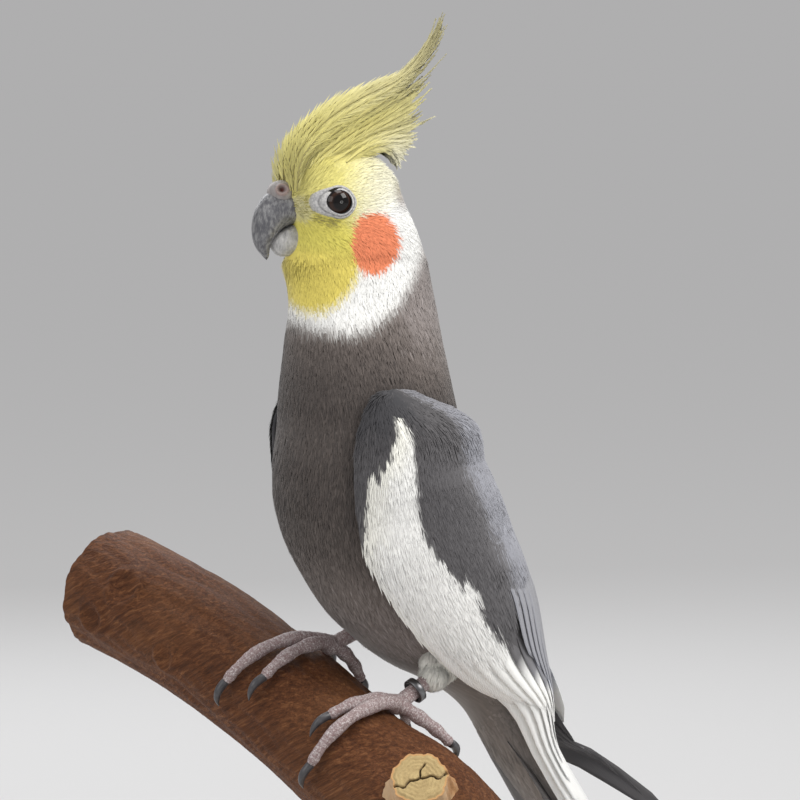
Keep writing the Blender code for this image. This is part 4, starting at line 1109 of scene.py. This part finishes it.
def eye_parts(side, sign):
    n, m = 40, 24
    a, b = np.meshgrid(np.linspace(0, math.tau, n, endpoint=False), np.linspace(0.0, math.pi, m), indexing="ij")
    x = EYE_X + EYE_BALL * np.cos(b)
    s = EYE_S + EYE_BALL * np.sin(b) * np.cos(a)
    z = EYE_Z + EYE_BALL * np.sin(b) * np.sin(a)
    points = from_head(sign * x, s, z).transpose(1, 0, 2).reshape(-1, 3)
    faces = grid_faces(m, n, True)
    off = np.sin(np.clip(b, 0, math.pi / 2)).T.ravel()
    vane = np.stack([off, off * 0, off * 0], -1)
    if sign < 0:
        faces = faces[:, ::-1]
    ball = build("eye_ball_" + side, points, faces[:, ::-1], None, vane)
    settle(ball, eye_material, "eye", "eye_" + side)
    n, m = 96, 16
    a, k = np.meshgrid(np.linspace(0, math.tau, n, endpoint=False), np.linspace(0, 1, m), indexing="ij")
    front = np.clip(-np.cos(a), 0, 1)
    outer = 4.25 + 2.9 * front ** 3.4 + 0.3 * np.clip(np.cos(a), 0, 1) ** 12
    r = 2.75 + (outer - 2.75) * k
    s = EYE_S + r * np.cos(a)
    z = EYE_Z + r * np.sin(a) * (1 - 0.10 * front)
    crease = -0.22 * np.exp(-((k - 0.5) / 0.07) ** 2) + 0.05 * np.sin(a * 46 + k * 9) * np.sin(k * math.pi)
    high = 0.62 * np.exp(-((k - 0.22) / 0.20) ** 2) + crease - 0.9 * smooth(0.75, 1.0, k)
    x = np.maximum(head_side(s, z), 0) + high - 0.05
    x[:, 0] -= 0.5
    points = from_head(sign * x, s, z).transpose(1, 0, 2).reshape(-1, 3)
    faces = grid_faces(m, n, True)
    vane = np.stack([k.T.ravel(), a.T.ravel(), 0 * k.T.ravel()], -1)
    lid = build("eye_ring_" + side, points, faces if sign > 0 else faces[:, ::-1], None, vane)
    settle(lid, lid_material, "cere")


BRISTLES = 90


def bristles(side, sign):
    """Sparse dark hairs in front of the eye and under it."""
    turn = rng.uniform(math.radians(158), math.radians(262), BRISTLES)
    away = rng.uniform(1.06, 1.45, BRISTLES)
    s = EYE_S + away * np.where(np.cos(turn) < 0, 7.4, 4.6) * np.cos(turn)
    z = EYE_Z + away * 4.1 * np.sin(turn)
    root = from_head(sign * (head_side(s, z) - 0.3), s, z)
    out = unit(np.broadcast_to(head_dir(sign * 1.0, -0.1, 0.0), root.shape))
    slope = np.interp(s, (-16.0, -11.0, -4.0), (0.15, -0.30, -0.65)) + rng.normal(0, 0.16, BRISTLES)
    lie = unit(head_dir(0.0, np.cos(slope), np.sin(slope)))
    marks = np.tile([0.45, 0.0, 0.0, 0.75], (BRISTLES, 1))
    place = np.stack([np.full(BRISTLES, 0.27 if sign > 0 else 0.73), 0.9 - (260.0 - z) / 200.0], -1)
    piece = blades("bristles_" + side, root, lie, out, rng.uniform(1.4, 2.6, BRISTLES), 0.13, 0.45, marks, place,
                   rng.normal(0, 0.2, BRISTLES))
    settle(piece, soft_plumage, "plumage")


for side, sign in (("left", 1), ("right", -1)):
    eye_parts(side, sign)
    bristles(side, sign)

# %% [markdown]
# ## Bill and cere
#
# The hooked upper half is slate grey with pale worn streaks. The fleshy cere carries the nostrils.

# %% Bill
horn, tree, shader = new_material("bill horn", 0.38)
place = add(tree, "TexCoord")
spread = add(tree, "Mapping", {"Vector": place.outputs["Object"], "Scale": (1300.0, 1300.0, 480.0)})
cloud = add(tree, "TexNoise", {"Vector": spread.outputs["Vector"], "Scale": 1.0, "Detail": 8.0, "Roughness": 0.65})
worn = add(tree, "ValToRGB", {"Fac": cloud.outputs["Fac"]})
worn.color_ramp.elements[0].position = 0.42
worn.color_ramp.elements[0].color = (0.105, 0.105, 0.118, 1)
worn.color_ramp.elements[1].position = 0.78
worn.color_ramp.elements[1].color = (0.40, 0.40, 0.40, 1)
tree.links.new(worn.outputs["Color"], shader.inputs["Base Color"])
bump = add(tree, "Bump", {"Strength": 0.4, "Distance": 0.0003, "Height": cloud.outputs["Fac"]})
tree.links.new(bump.outputs["Normal"], shader.inputs["Normal"])

pale_horn, tree, shader = new_material("lower bill horn", 0.45)
place = add(tree, "TexCoord")
flakes = add(tree, "Mapping", {"Vector": place.outputs["Object"], "Scale": (900.0, 900.0, 380.0)})
cloud = add(tree, "TexNoise", {"Vector": flakes.outputs["Vector"], "Scale": 1.0, "Detail": 8.0, "Roughness": 0.7})
flaked = add(tree, "ValToRGB", {"Fac": cloud.outputs["Fac"]})
flaked.color_ramp.elements[0].position = 0.30
flaked.color_ramp.elements[0].color = (0.24, 0.24, 0.245, 1)
flaked.color_ramp.elements[1].position = 0.74
flaked.color_ramp.elements[1].color = (0.76, 0.75, 0.73, 1)
tree.links.new(flaked.outputs["Color"], shader.inputs["Base Color"])
bump = add(tree, "Bump", {"Strength": 0.7, "Distance": 0.0004, "Height": cloud.outputs["Fac"]})
tree.links.new(bump.outputs["Normal"], shader.inputs["Normal"])

cere_material, tree, shader = new_material("cere", 0.55)
place = add(tree, "TexCoord")
cloud = add(tree, "TexNoise", {"Vector": place.outputs["Object"], "Scale": 900.0, "Detail": 6.0})
colour = blend(tree, cloud.outputs["Fac"], (0.13, 0.12, 0.12), (0.52, 0.48, 0.47))
inside = add(tree, "Attribute", attribute_name="vane")
# The nostril hollows are painted dark red-brown: painted shade of the openings, which the shallow dents do not cast.
colour = blend(tree, add(tree, "SeparateXYZ", {"Vector": inside.outputs["Vector"]}).outputs["X"], colour,
               (0.10, 0.018, 0.012))
colour = blend(tree, add(tree, "SeparateXYZ", {"Vector": inside.outputs["Vector"]}).outputs["Y"], colour,
               (0.34, 0.25, 0.23))
tree.links.new(colour, shader.inputs["Base Color"])
bump = add(tree, "Bump", {"Strength": 0.5, "Distance": 0.0003, "Height": cloud.outputs["Fac"]})
tree.links.new(bump.outputs["Normal"], shader.inputs["Normal"])

BILL_UPPER = (((-17.0, 257.6), (-13.2, 250.3), 4.9), ((-22.1, 257.2), (-16.6, 249.2), 4.7),
              ((-25.0, 254.2), (-18.4, 248.5), 4.5), ((-26.4, 250.4), (-19.6, 247.6), 4.0),
              ((-26.5, 246.5), (-20.9, 246.0), 3.2), ((-25.5, 243.4), (-21.9, 244.2), 2.1),
              ((-23.0, 240.5), (-22.3, 241.7), 0.5))
BILL_LOWER = (((-13.0, 249.0), (-13.4, 242.0), 3.4), ((-16.2, 249.2), (-17.2, 241.4), 3.5),
              ((-18.5, 248.4), (-19.6, 241.4), 3.3), ((-20.4, 247.0), (-21.0, 242.4), 2.6),
              ((-21.9, 245.6), (-22.0, 243.9), 1.2))


def bill_piece(name, table, material, node):
    flat = np.array([(*outer, *inner, width) for outer, inner, width in table])
    n, m = 44, 40
    fine = curve_at(flat, np.linspace(0, len(flat) - 1, n))
    a = np.linspace(0, math.tau, m, endpoint=False)
    middle = (fine[:, :2] + fine[:, 2:4]) / 2
    half = (fine[:, :2] - fine[:, 2:4]) / 2
    at = middle[:, None] + half[:, None] * np.cos(a)[None, :, None]
    x = fine[:, 4][:, None] * np.sign(np.sin(a)) * np.abs(np.sin(a))[None] ** (0.75 if node == "bill_lower" else 1.0)
    points = from_head(x, at[..., 0], at[..., 1]).reshape(-1, 3)
    ends = from_head(np.zeros(2), middle[[0, -1], 0], middle[[0, -1], 1])
    faces = grid_faces(n, m, True)
    k = np.arange(m)
    faces = np.concatenate([faces, np.stack([(k + 1) % m, k, np.full(m, len(points))], -1),
                            np.stack([(n - 1) * m + k, (n - 1) * m + (k + 1) % m, np.full(m, len(points) + 1)], -1)])
    piece = build(name, np.concatenate([points, ends]), faces)
    settle(piece, material, "bill", node)


bill_piece("upper_bill", BILL_UPPER, horn, "bill_upper")
bill_piece("lower_bill", BILL_LOWER, pale_horn, "bill_lower")


def ball_points(centre, size, n=40, m=24):
    a, b = np.meshgrid(np.linspace(0, math.tau, n, endpoint=False), np.linspace(0.0, math.pi, m), indexing="ij")
    x = centre[0] + size[0] * np.sin(b) * np.cos(a)
    s = centre[1] + size[1] * np.sin(b) * np.sin(a)
    z = centre[2] + size[2] * np.cos(b)
    return np.stack([x, s, z], -1).transpose(1, 0, 2).reshape(-1, 3), grid_faces(m, n, True)


points, faces = ball_points((0.0, -19.2, 257.0), (4.7, 3.4, 3.2), 110, 80)
centre = np.array([0.0, -19.2, 257.0])
# This mask both dents the nostrils and, through the shader, paints them dark as painted shade.
nostril_dent_and_shade = np.zeros(len(points))
rim = np.zeros(len(points))
for sign in (1, -1):
    hole = np.array([sign * 4.3, -20.1, 258.2])
    gap = np.linalg.norm(points - hole, axis=1)
    nostril_dent_and_shade = np.maximum(nostril_dent_and_shade, np.exp(-(gap / 0.95) ** 4))
    rim = np.maximum(rim, np.exp(-((gap - 1.45) / 0.42) ** 2))
points = points + unit(points - centre) * (rim * 0.26 - nostril_dent_and_shade * 1.2)[:, None]
cere = build("cere_skin", from_head(points[:, 0], points[:, 1], points[:, 2]), faces, None,
             np.stack([nostril_dent_and_shade, rim, rim * 0], -1))
settle(cere, cere_material, "cere", "cere")

# %% [markdown]
# ## Branch
#
# The same arc as the frame's branch with fine bark: shallow furrows along it, small knots and a cut stub.

# %% Branch form
BRANCH_HEADING = math.radians(14.0)
BRANCH_MIDDLE = np.array([0.0, -17.7, 118.9])
BRANCH_FALL = 0.52
BRANCH_SAG = 0.0018
BRANCH_ENDS = (-90.0, 48.0)
BRANCH_RADII = (16.2, 15.6)
SWELL_STATIONS = (5.0, 30.0)
SWELL = 2.4


def branch_frame(h, radius, angle):
    """Points at a distance h along the branch, angle counted in degrees from its top to the front."""
    h, radius, angle = (np.asarray(v, float) for v in (h, radius, angle))
    heading = np.array([math.cos(BRANCH_HEADING), math.sin(BRANCH_HEADING), 0.0])
    front = np.array([heading[1], -heading[0], 0.0])
    centre = BRANCH_MIDDLE + heading * h[..., None]
    centre = centre - np.array([0, 0, 1.0]) * (BRANCH_FALL * h + BRANCH_SAG * h * h)[..., None]
    along = unit(heading - np.array([0, 0, 1.0]) * (BRANCH_FALL + 2 * BRANCH_SAG * h)[..., None])
    up = np.cross(front, along)
    up = up * np.sign(up[..., 2:])
    swell = (SWELL * smooth(*SWELL_STATIONS, h))[..., None]
    angle = np.radians(angle)[..., None]
    return centre + up * swell + (up * np.cos(angle) + front * np.sin(angle)) * (radius[..., None] + swell)


n, m = 220, 120
h, a = np.meshgrid(np.linspace(*BRANCH_ENDS, n), np.linspace(0, 360, m, endpoint=False), indexing="ij")
ring = np.radians(a)
furrow = 0.5 + 0.5 * np.sin(ring * 9 + 1.3 * np.sin(h * 0.11) + 0.6 * np.sin(ring * 2 + h * 0.05))
fine = 0.5 + 0.5 * np.sin(ring * 31 + 2.2 * np.sin(h * 0.23 + ring * 3))
radius = BRANCH_RADII[0] + (BRANCH_RADII[1] - BRANCH_RADII[0]) * (h - BRANCH_ENDS[0]) / (BRANCH_ENDS[1] - BRANCH_ENDS[0])
radius = radius - 0.55 * furrow ** 3 - 0.22 * fine ** 2 - rng.random(h.shape) * 0.05
for knot_h, knot_a, size in ((-70.0, 60.0, 5.0), (-48.0, 95.0, 3.6), (-78.0, 100.0, 4.2)):
    gap = np.hypot(h - knot_h, ((a - knot_a + 180) % 360 - 180) * 0.27)
    radius = radius + 0.7 * np.exp(-((gap - size) / 1.2) ** 2) - 0.8 * np.exp(-(gap / (size * 0.55)) ** 2)
points = branch_frame(h, radius, a).reshape(-1, 3)
faces = grid_faces(n, m, True)
bark = build("branch_bark", points, faces)

# %% Wood materials
bark_material, tree, shader = new_material("bark", 0.62)
shader.inputs["Specular IOR Level"].default_value = 0.22
place = add(tree, "TexCoord")
turned = add(tree, "Mapping", {"Vector": place.outputs["Object"], "Rotation": (0.0, math.radians(27.5), -BRANCH_HEADING)})
streak = add(tree, "Mapping", {"Vector": turned.outputs["Vector"], "Scale": (55.0, 1000.0, 1000.0)})
long = add(tree, "TexNoise", {"Vector": streak.outputs["Vector"], "Scale": 1.0, "Detail": 10.0, "Roughness": 0.72,
                              "Distortion": 0.5})
broad = add(tree, "TexNoise", {"Vector": place.outputs["Object"], "Scale": 38.0, "Detail": 3.0})
ramp = add(tree, "ValToRGB", {"Fac": long.outputs["Fac"]})
stops = ramp.color_ramp.elements
stops[0].position = 0.28
stops[0].color = (0.030, 0.009, 0.003, 1)
stops[1].position = 0.80
stops[1].color = (0.34, 0.150, 0.060, 1)
stop = stops.new(0.52)
stop.color = (0.120, 0.042, 0.015, 1)
lighter = calc(tree, "MULTIPLY", calc(tree, "SUBTRACT", broad.outputs["Fac"], 0.45, clamp=True), 1.6, clamp=True)
thin = add(tree, "Mapping", {"Vector": turned.outputs["Vector"], "Scale": (220.0, 3200.0, 3200.0)})
fibre = add(tree, "TexNoise", {"Vector": thin.outputs["Vector"], "Scale": 1.0, "Detail": 6.0, "Roughness": 0.6})
fibre = calc(tree, "MULTIPLY_ADD", fibre.outputs["Fac"], 1.7, 0.15)
fibre = add(tree, "CombineColor", {0: fibre, 1: fibre, 2: fibre})
colour = blend(tree, calc(tree, "MULTIPLY", lighter, 0.5), ramp.outputs["Color"], (0.30, 0.135, 0.055))
colour = blend(tree, 1.0, colour, fibre.outputs["Color"], "MULTIPLY")
tree.links.new(colour, shader.inputs["Base Color"])
bump = add(tree, "Bump", {"Strength": 0.7, "Distance": 0.0008, "Height": long.outputs["Fac"]})
tree.links.new(bump.outputs["Normal"], shader.inputs["Normal"])

cut_material, tree, shader = new_material("cut wood", 0.75)
place = add(tree, "TexCoord")
crack_shade_and_radius = add(tree, "SeparateXYZ", {"Vector": add(tree, "Attribute", attribute_name="vane").outputs["Vector"]})
grain = add(tree, "TexNoise", {"Vector": place.outputs["Object"], "Scale": 420.0, "Detail": 9.0, "Roughness": 0.75})
rings = calc(tree, "MULTIPLY_ADD", calc(tree, "SINE", calc(tree, "MULTIPLY", crack_shade_and_radius.outputs["Y"], 48.0)), 0.04, 0.0)
wood = blend(tree, calc(tree, "ADD", grain.outputs["Fac"], rings, clamp=True), (0.22, 0.13, 0.045), (0.80, 0.62, 0.30))
edge = calc(tree, "GREATER_THAN", crack_shade_and_radius.outputs["Y"], 0.93)
wood = blend(tree, calc(tree, "MULTIPLY", edge, 0.8), wood, (0.62, 0.33, 0.13))
# Painted shade: the cut face is darkened along its cracks by their depth.
wood = blend(tree, calc(tree, "MULTIPLY", crack_shade_and_radius.outputs["X"], 1.3, clamp=True), wood, (0.045, 0.018, 0.008))
tree.links.new(wood, shader.inputs["Base Color"])
bump = add(tree, "Bump", {"Strength": 0.8, "Distance": 0.0006, "Height": grain.outputs["Fac"]})
tree.links.new(bump.outputs["Normal"], shader.inputs["Normal"])

rim_material, tree, shader = new_material("wood round the stub", 0.7)
place = add(tree, "TexCoord")
grain = add(tree, "TexNoise", {"Vector": place.outputs["Object"], "Scale": 330.0, "Detail": 8.0, "Roughness": 0.7})
patch = add(tree, "TexNoise", {"Vector": place.outputs["Object"], "Scale": 110.0, "Detail": 3.0})
wood = blend(tree, grain.outputs["Fac"], (0.10, 0.036, 0.012), (0.74, 0.40, 0.17))
share = calc(tree, "MULTIPLY", calc(tree, "SUBTRACT", patch.outputs["Fac"], 0.47, clamp=True), 7.0, clamp=True)
wood = blend(tree, calc(tree, "MULTIPLY", share, 0.55), wood, (0.80, 0.60, 0.38))
tree.links.new(wood, shader.inputs["Base Color"])
bump = add(tree, "Bump", {"Strength": 0.9, "Distance": 0.0008, "Height": grain.outputs["Fac"]})
tree.links.new(bump.outputs["Normal"], shader.inputs["Normal"])

settle(bark, bark_material, "bark", "branch")
for name, end, turn in (("branch_cut_far", BRANCH_ENDS[0], 1), ("branch_cut_near", BRANCH_ENDS[1], -1)):
    k = 0 if turn > 0 else n - 1
    edge = points.reshape(n, m, 3)[k]
    middle = edge.mean(0)
    shares = np.linspace(1.0, 0.0, 14)
    disc = middle + (edge[None] - middle) * shares[:, None, None] * np.array([1.0, 1.0, 1.0])
    disc = disc + unit(points.reshape(n, m, 3)[0, 0] * 0 + (1 if turn < 0 else -1)
                       * (points.reshape(n, m, 3)[-1].mean(0) - points.reshape(n, m, 3)[0].mean(0))) \
        * (0.35 * np.sin(shares * 20)[:, None, None] * (shares < 0.98)[:, None, None])
    piece = build(name, disc.reshape(-1, 3), grid_faces(14, m, True)[:, ::turn])
    settle(piece, cut_material, "bark")

# %% Stub
STUB_STATION = 31.0
STUB_AIM = unit(np.array([0.695, -0.426, 0.578]))
STUB_REACH = 24.9
STUB_RADIUS = 6.6
STUB_FLARE = (11.5, 8.0, 7.0)
foot = branch_frame(STUB_STATION, -SWELL, 0.0)
n, m = 40, 96
steps = np.linspace(0.45, 1.0, n)
size = np.interp(steps, (0.45, 0.75, 1.0), STUB_FLARE)
points, faces = tube("stub", foot + STUB_AIM * STUB_REACH * steps[:, None], size, m, cap=False)
centre = np.repeat(foot + STUB_AIM * STUB_REACH * steps[:, None], m, 0)
turn = np.tile(np.arange(m) * math.tau / m, n)
fibre = 0.035 * np.sin(turn * 7) + 0.02 * np.sin(turn * 17 + 1.0) + 0.012 * np.sin(turn * 31)
points = centre + (points - centre) * (1.0 + fibre - 0.03)[:, None]
piece = build("stub_bark", points, faces[:, ::-1])
settle(piece, rim_material, "bark")
edge = points.reshape(n, m, 3)[-1]
middle = edge.mean(0)
rings = 26
shares = np.linspace(1.0, 0.0, rings)
disc = middle + (edge[None] - middle) * shares[:, None, None]
round_ = np.arange(m) * math.tau / m
depth = np.zeros((rings, m))
for crack, wide, long in ((0.9, 0.035, 0.97), (3.7, 0.035, 0.97), (5.0, 0.028, 0.6)):
    bent = round_[None] - crack - 0.13 * np.sin(shares[:, None] * 11.0 + crack)
    away = np.abs((bent + math.pi) % math.tau - math.pi) * shares[:, None]
    depth = np.maximum(depth, np.exp(-(away / wide) ** 2) * (shares[:, None] < long))
disc = disc + STUB_AIM * (0.35 * smooth(1.0, 0.8, shares)[:, None, None] + 0.1 * np.sin(shares * 40)[:, None, None])
disc = disc - STUB_AIM * 1.3 * depth[..., None]
# The crack depth also goes to the shader, which paints the cracks dark as painted shade.
piece = build("stub_face", disc.reshape(-1, 3), grid_faces(rings, m, True), None,
              np.stack([depth.ravel(), np.repeat(shares, m), np.zeros(rings * m)], -1))
settle(piece, cut_material, "bark")

# %% [markdown]
# ## Feet
#
# Two toes grip in front of the branch and two behind. The pads swell between the joints and small
# scutes run across their backs.

# %% Feet
foot_material, tree, shader = new_material("foot skin", 0.55)
place = add(tree, "TexCoord")
scale = add(tree, "TexVoronoi", {"Vector": place.outputs["Object"], "Scale": 2900.0})
gap = add(tree, "TexVoronoi", {"Vector": place.outputs["Object"], "Scale": 2900.0}, feature="DISTANCE_TO_EDGE")
speck = add(tree, "ValToRGB", {"Fac": add(tree, "SeparateColor", {"Color": scale.outputs["Color"]}).outputs[0]})
speck.color_ramp.elements[0].position = 0.25
speck.color_ramp.elements[0].color = (0.46, 0.34, 0.335, 1)
speck.color_ramp.elements[1].position = 0.85
speck.color_ramp.elements[1].color = (0.80, 0.73, 0.73, 1)
seam = calc(tree, "MULTIPLY", gap.outputs["Distance"], 9.0, clamp=True)
along_toe = add(tree, "SeparateXYZ", {"Vector": add(tree, "Attribute", attribute_name="vane").outputs["Vector"]})
bars = calc(tree, "SINE", calc(tree, "MULTIPLY", along_toe.outputs["X"], 150.0))
bars = calc(tree, "MULTIPLY_ADD", bars, 0.5, 1.1, clamp=True)
seam = calc(tree, "MULTIPLY", seam, bars)
colour = blend(tree, seam, (0.30, 0.19, 0.185), speck.outputs["Color"])
tree.links.new(colour, shader.inputs["Base Color"])
bump = add(tree, "Bump", {"Strength": 0.8, "Distance": 0.00025, "Height": seam})
tree.links.new(bump.outputs["Normal"], shader.inputs["Normal"])

claw_material, tree, shader = new_material("claw horn", 0.32)
place = add(tree, "TexCoord")
cloud = add(tree, "TexNoise", {"Vector": place.outputs["Object"], "Scale": 700.0, "Detail": 5.0})
tree.links.new(blend(tree, cloud.outputs["Fac"], (0.020, 0.021, 0.026), (0.11, 0.105, 0.11)), shader.inputs["Base Color"])

FEET = {
    "left": ((7.0, -20.0), (12.0, 5.0, 138.0),
             (("outer_front", 9.0, 80.0), ("inner_front", 4.2, 42.0), ("outer_hind", 18.5, -50.0),
              ("inner_hind", 3.0, -66.0))),
    "right": ((-17.0, -20.0), (-11.6, 2.0, 149.5),
              (("outer_front", -24.0, 76.0), ("inner_front", -15.6, 54.0), ("outer_hind", -25.0, -58.0),
               ("inner_hind", -13.0, -62.0))),
}
TRACK = 18.3
for side, ((h0, angle0), ankle, toes) in FEET.items():
    base = branch_frame(h0, TRACK, angle0)
    parts = []
    for name, h, angle in toes:
        t = np.linspace(0, 1, 46)
        path = branch_frame(h0 + (h - h0) * t ** 0.8, TRACK + 0.5 * (1 - t), angle0 + (angle - angle0) * t)
        swell = 1.95 + (1.35 - 1.95) * t + 0.16 * np.cos(t * 19.0) + 0.05 * np.cos(t * 95.0)
        swell[-4:] *= np.array([0.97, 0.9, 0.75, 0.45])
        parts.append(tube("toe", path, swell, 20))
        sense = 1 if angle > angle0 else -1
        t = np.linspace(0, 1, 16)
        path = branch_frame(np.full(16, h), TRACK + 1.3 * np.sin(math.pi * t) - 0.5 * t, angle + sense * (-1.5 + 23.0 * t))
        points, faces = tube("claw", path, np.interp(t, (0, 0.35, 0.7, 1), (1.1, 1.08, 0.72, 0.12)), 16)
        piece = build("claw_horn_%s_%s" % (side, name), points, faces)
        settle(piece, claw_material, "claw", "claw_%s_%s" % (side, name))
    axis = unit(np.array(ankle) - base)
    t = np.linspace(0, 1, 30)
    path = base + (np.array(ankle) - base) * t[:, None]
    parts.append(tube("shank", path, 1.95 + 0.05 * np.cos(t * 60) + 0.35 * smooth(0.6, 1, t), 20))
    points, faces = ball_points((0, 0, 0), (2.5, 2.5, 2.5), 24, 16)
    parts.append((points + base, faces))
    scutes = [np.append(np.repeat(np.linspace(0.0, 1.0, n), 20), [0.0, 1.0]) for n in (46, 46, 46, 46, 30)]
    scutes = np.concatenate(scutes + [np.zeros(len(points))])
    offsets = np.cumsum([0] + [len(p) for p, _ in parts[:-1]])
    points = np.concatenate([p for p, _ in parts])
    faces = np.concatenate([f + o for (_, f), o in zip(parts, offsets)])
    piece = build("foot_skin_" + side, points, faces, None, np.stack([scutes, 0 * scutes, 0 * scutes], -1))
    settle(piece, foot_material, "skin", "foot_" + side, "leg_" + side)

# %% Thigh tufts
THIGHS = {"left": ((11.4, 5.4, 140.0), (4.6, 6.2, 6.2), 0.86), "right": ((-11.6, -0.5, 147.0), (4.6, 6.2, 6.2), 0.86)}
for side, (centre, size, share) in THIGHS.items():
    (h0, angle0), ankle, _ = FEET[side]
    base = branch_frame(h0, TRACK, angle0)
    tuft = base + (np.array(ankle) - base) * share
    roots, normals = [], []
    for middle, radii, n in ((np.array(centre), np.array(size) - 0.8, 1500), (tuft, np.full(3, 3.4), 1400)):
        k = np.arange(n) + 0.5
        z = 1 - 2 * k / n
        a = k * 2.399963
        way = np.stack([np.sqrt(1 - z * z) * np.cos(a), np.sqrt(1 - z * z) * np.sin(a), z], -1)
        roots.append(middle + way * radii)
        normals.append(unit(way / radii))
    root = np.concatenate(roots)
    out = np.concatenate(normals)
    lie = np.array([0.0, -0.35, -1.0]) + rng.normal(0, 0.12, root.shape)
    lie = unit(lie - out * np.sum(lie * out, -1, keepdims=True))
    marks = np.zeros((len(root), 4))
    pale = smooth(148.0, 139.0, root[:, 2]) if side == "left" else smooth(156.0, 146.0, root[:, 2])
    marks[:, 0] = 0.08 * pale
    marks[:, 2] = 0.92 * pale
    marks[:, 3] = 0.45
    rows_up = np.interp(root[:, 2], BODY[::-1, 0], np.arange(len(BODY))[::-1])
    turn = np.arctan2(root[:, 0], -(root[:, 1] - np.interp(rows_up, np.arange(len(BODY)), BODY[:, 2])))
    uv = np.stack([(turn / math.tau) % 1.0, 1 - rows_up / LAST_ROW], -1) * 0.96 + 0.02
    piece = blades("thigh_" + side, root, lie, out, rng.uniform(1.8, 2.8, len(root)), 0.6, 0.22, marks, uv,
                   rng.normal(0, 0.3, len(root)))
    settle(piece, soft_plumage, "plumage")

# %% [markdown]
# ## Leg ring and stand

# %% Ring and stand
metal, tree, shader = new_material("ring metal", 0.36, Metallic=1.0)
place = add(tree, "TexCoord")
cloud = add(tree, "TexNoise", {"Vector": place.outputs["Object"], "Scale": 900.0, "Detail": 5.0})
tree.links.new(blend(tree, cloud.outputs["Fac"], (0.10, 0.10, 0.105), (0.30, 0.30, 0.31)), shader.inputs["Base Color"])
(h0, angle0), ankle, _ = FEET["left"]
base = branch_frame(h0, TRACK, angle0)
axis = unit(np.array(ankle) - base)
axis = unit(axis + np.array([0.0, 0.22, 0.10]))
middle = base + (np.array(ankle) - base) * 0.42
n, m = 64, 20
profile = [(2.5, -0.8), (2.6, -0.9), (3.1, -0.9), (3.2, -0.8), (3.2, 0.8), (3.1, 0.9), (2.6, 0.9), (2.5, 0.8)]
side_dir = unit(np.cross(axis, [0, 0, 1.0]))
other = np.cross(axis, side_dir)
a = np.linspace(0, math.tau, n, endpoint=False)
rings = [middle + axis * along_ + (np.cos(a)[:, None] * side_dir + np.sin(a)[:, None] * other) * r
         for r, along_ in profile + profile[:1]]
piece = build("ring_metal", np.concatenate(rings), grid_faces(len(profile) + 1, n, True))
settle(piece, metal, "ring", "leg_ring")

pale_wood, tree, shader = new_material("stand wood", 0.42)
place = add(tree, "TexCoord")
stretch = add(tree, "Mapping", {"Vector": place.outputs["Object"], "Scale": (60.0, 6.0, 60.0)})
grain = add(tree, "TexNoise", {"Vector": stretch.outputs["Vector"], "Scale": 1.6, "Detail": 7.0})
tree.links.new(blend(tree, grain.outputs["Fac"], (0.36, 0.26, 0.17), (0.62, 0.50, 0.36)), shader.inputs["Base Color"])
profile = [(0.0, 0.0), (65.0, 0.0), (65.9, 0.3), (66.0, 1.0), (66.0, 10.2), (65.6, 11.2), (64.6, 11.8), (63.4, 12.0),
           (0.0, 12.0)]
a = np.linspace(0, math.tau, 128, endpoint=False)
rings = [np.stack([r * np.cos(a), r * np.sin(a), np.full(128, z)], -1) for r, z in profile]
piece = build("stand_plate", np.concatenate(rings), grid_faces(len(profile), 128, True))
settle(piece, pale_wood, "stand", "stand_base")
steel, tree, shader = new_material("rod metal", 0.3, Metallic=1.0)
place = add(tree, "TexCoord")
cloud = add(tree, "TexNoise", {"Vector": place.outputs["Object"], "Scale": 400.0, "Detail": 4.0})
tree.links.new(blend(tree, cloud.outputs["Fac"], (0.42, 0.42, 0.43), (0.58, 0.58, 0.59)), shader.inputs["Base Color"])
low, high = (np.array(v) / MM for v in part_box("stand_rod"))
middle = (low + high) / 2
points, faces = tube("rod", [(middle[0], middle[1], z) for z in np.linspace(low[2], high[2], 8)], np.full(8, 4.5), 48)
settle(build("rod", points, faces), steel, "stand", "stand_rod")

# %% Sizes and finish
triangles = sum(len(ob.data.polygons) for ob in bpy.data.objects if ob.type == "MESH" and not ob.hide_render)
print("triangles in all", triangles)
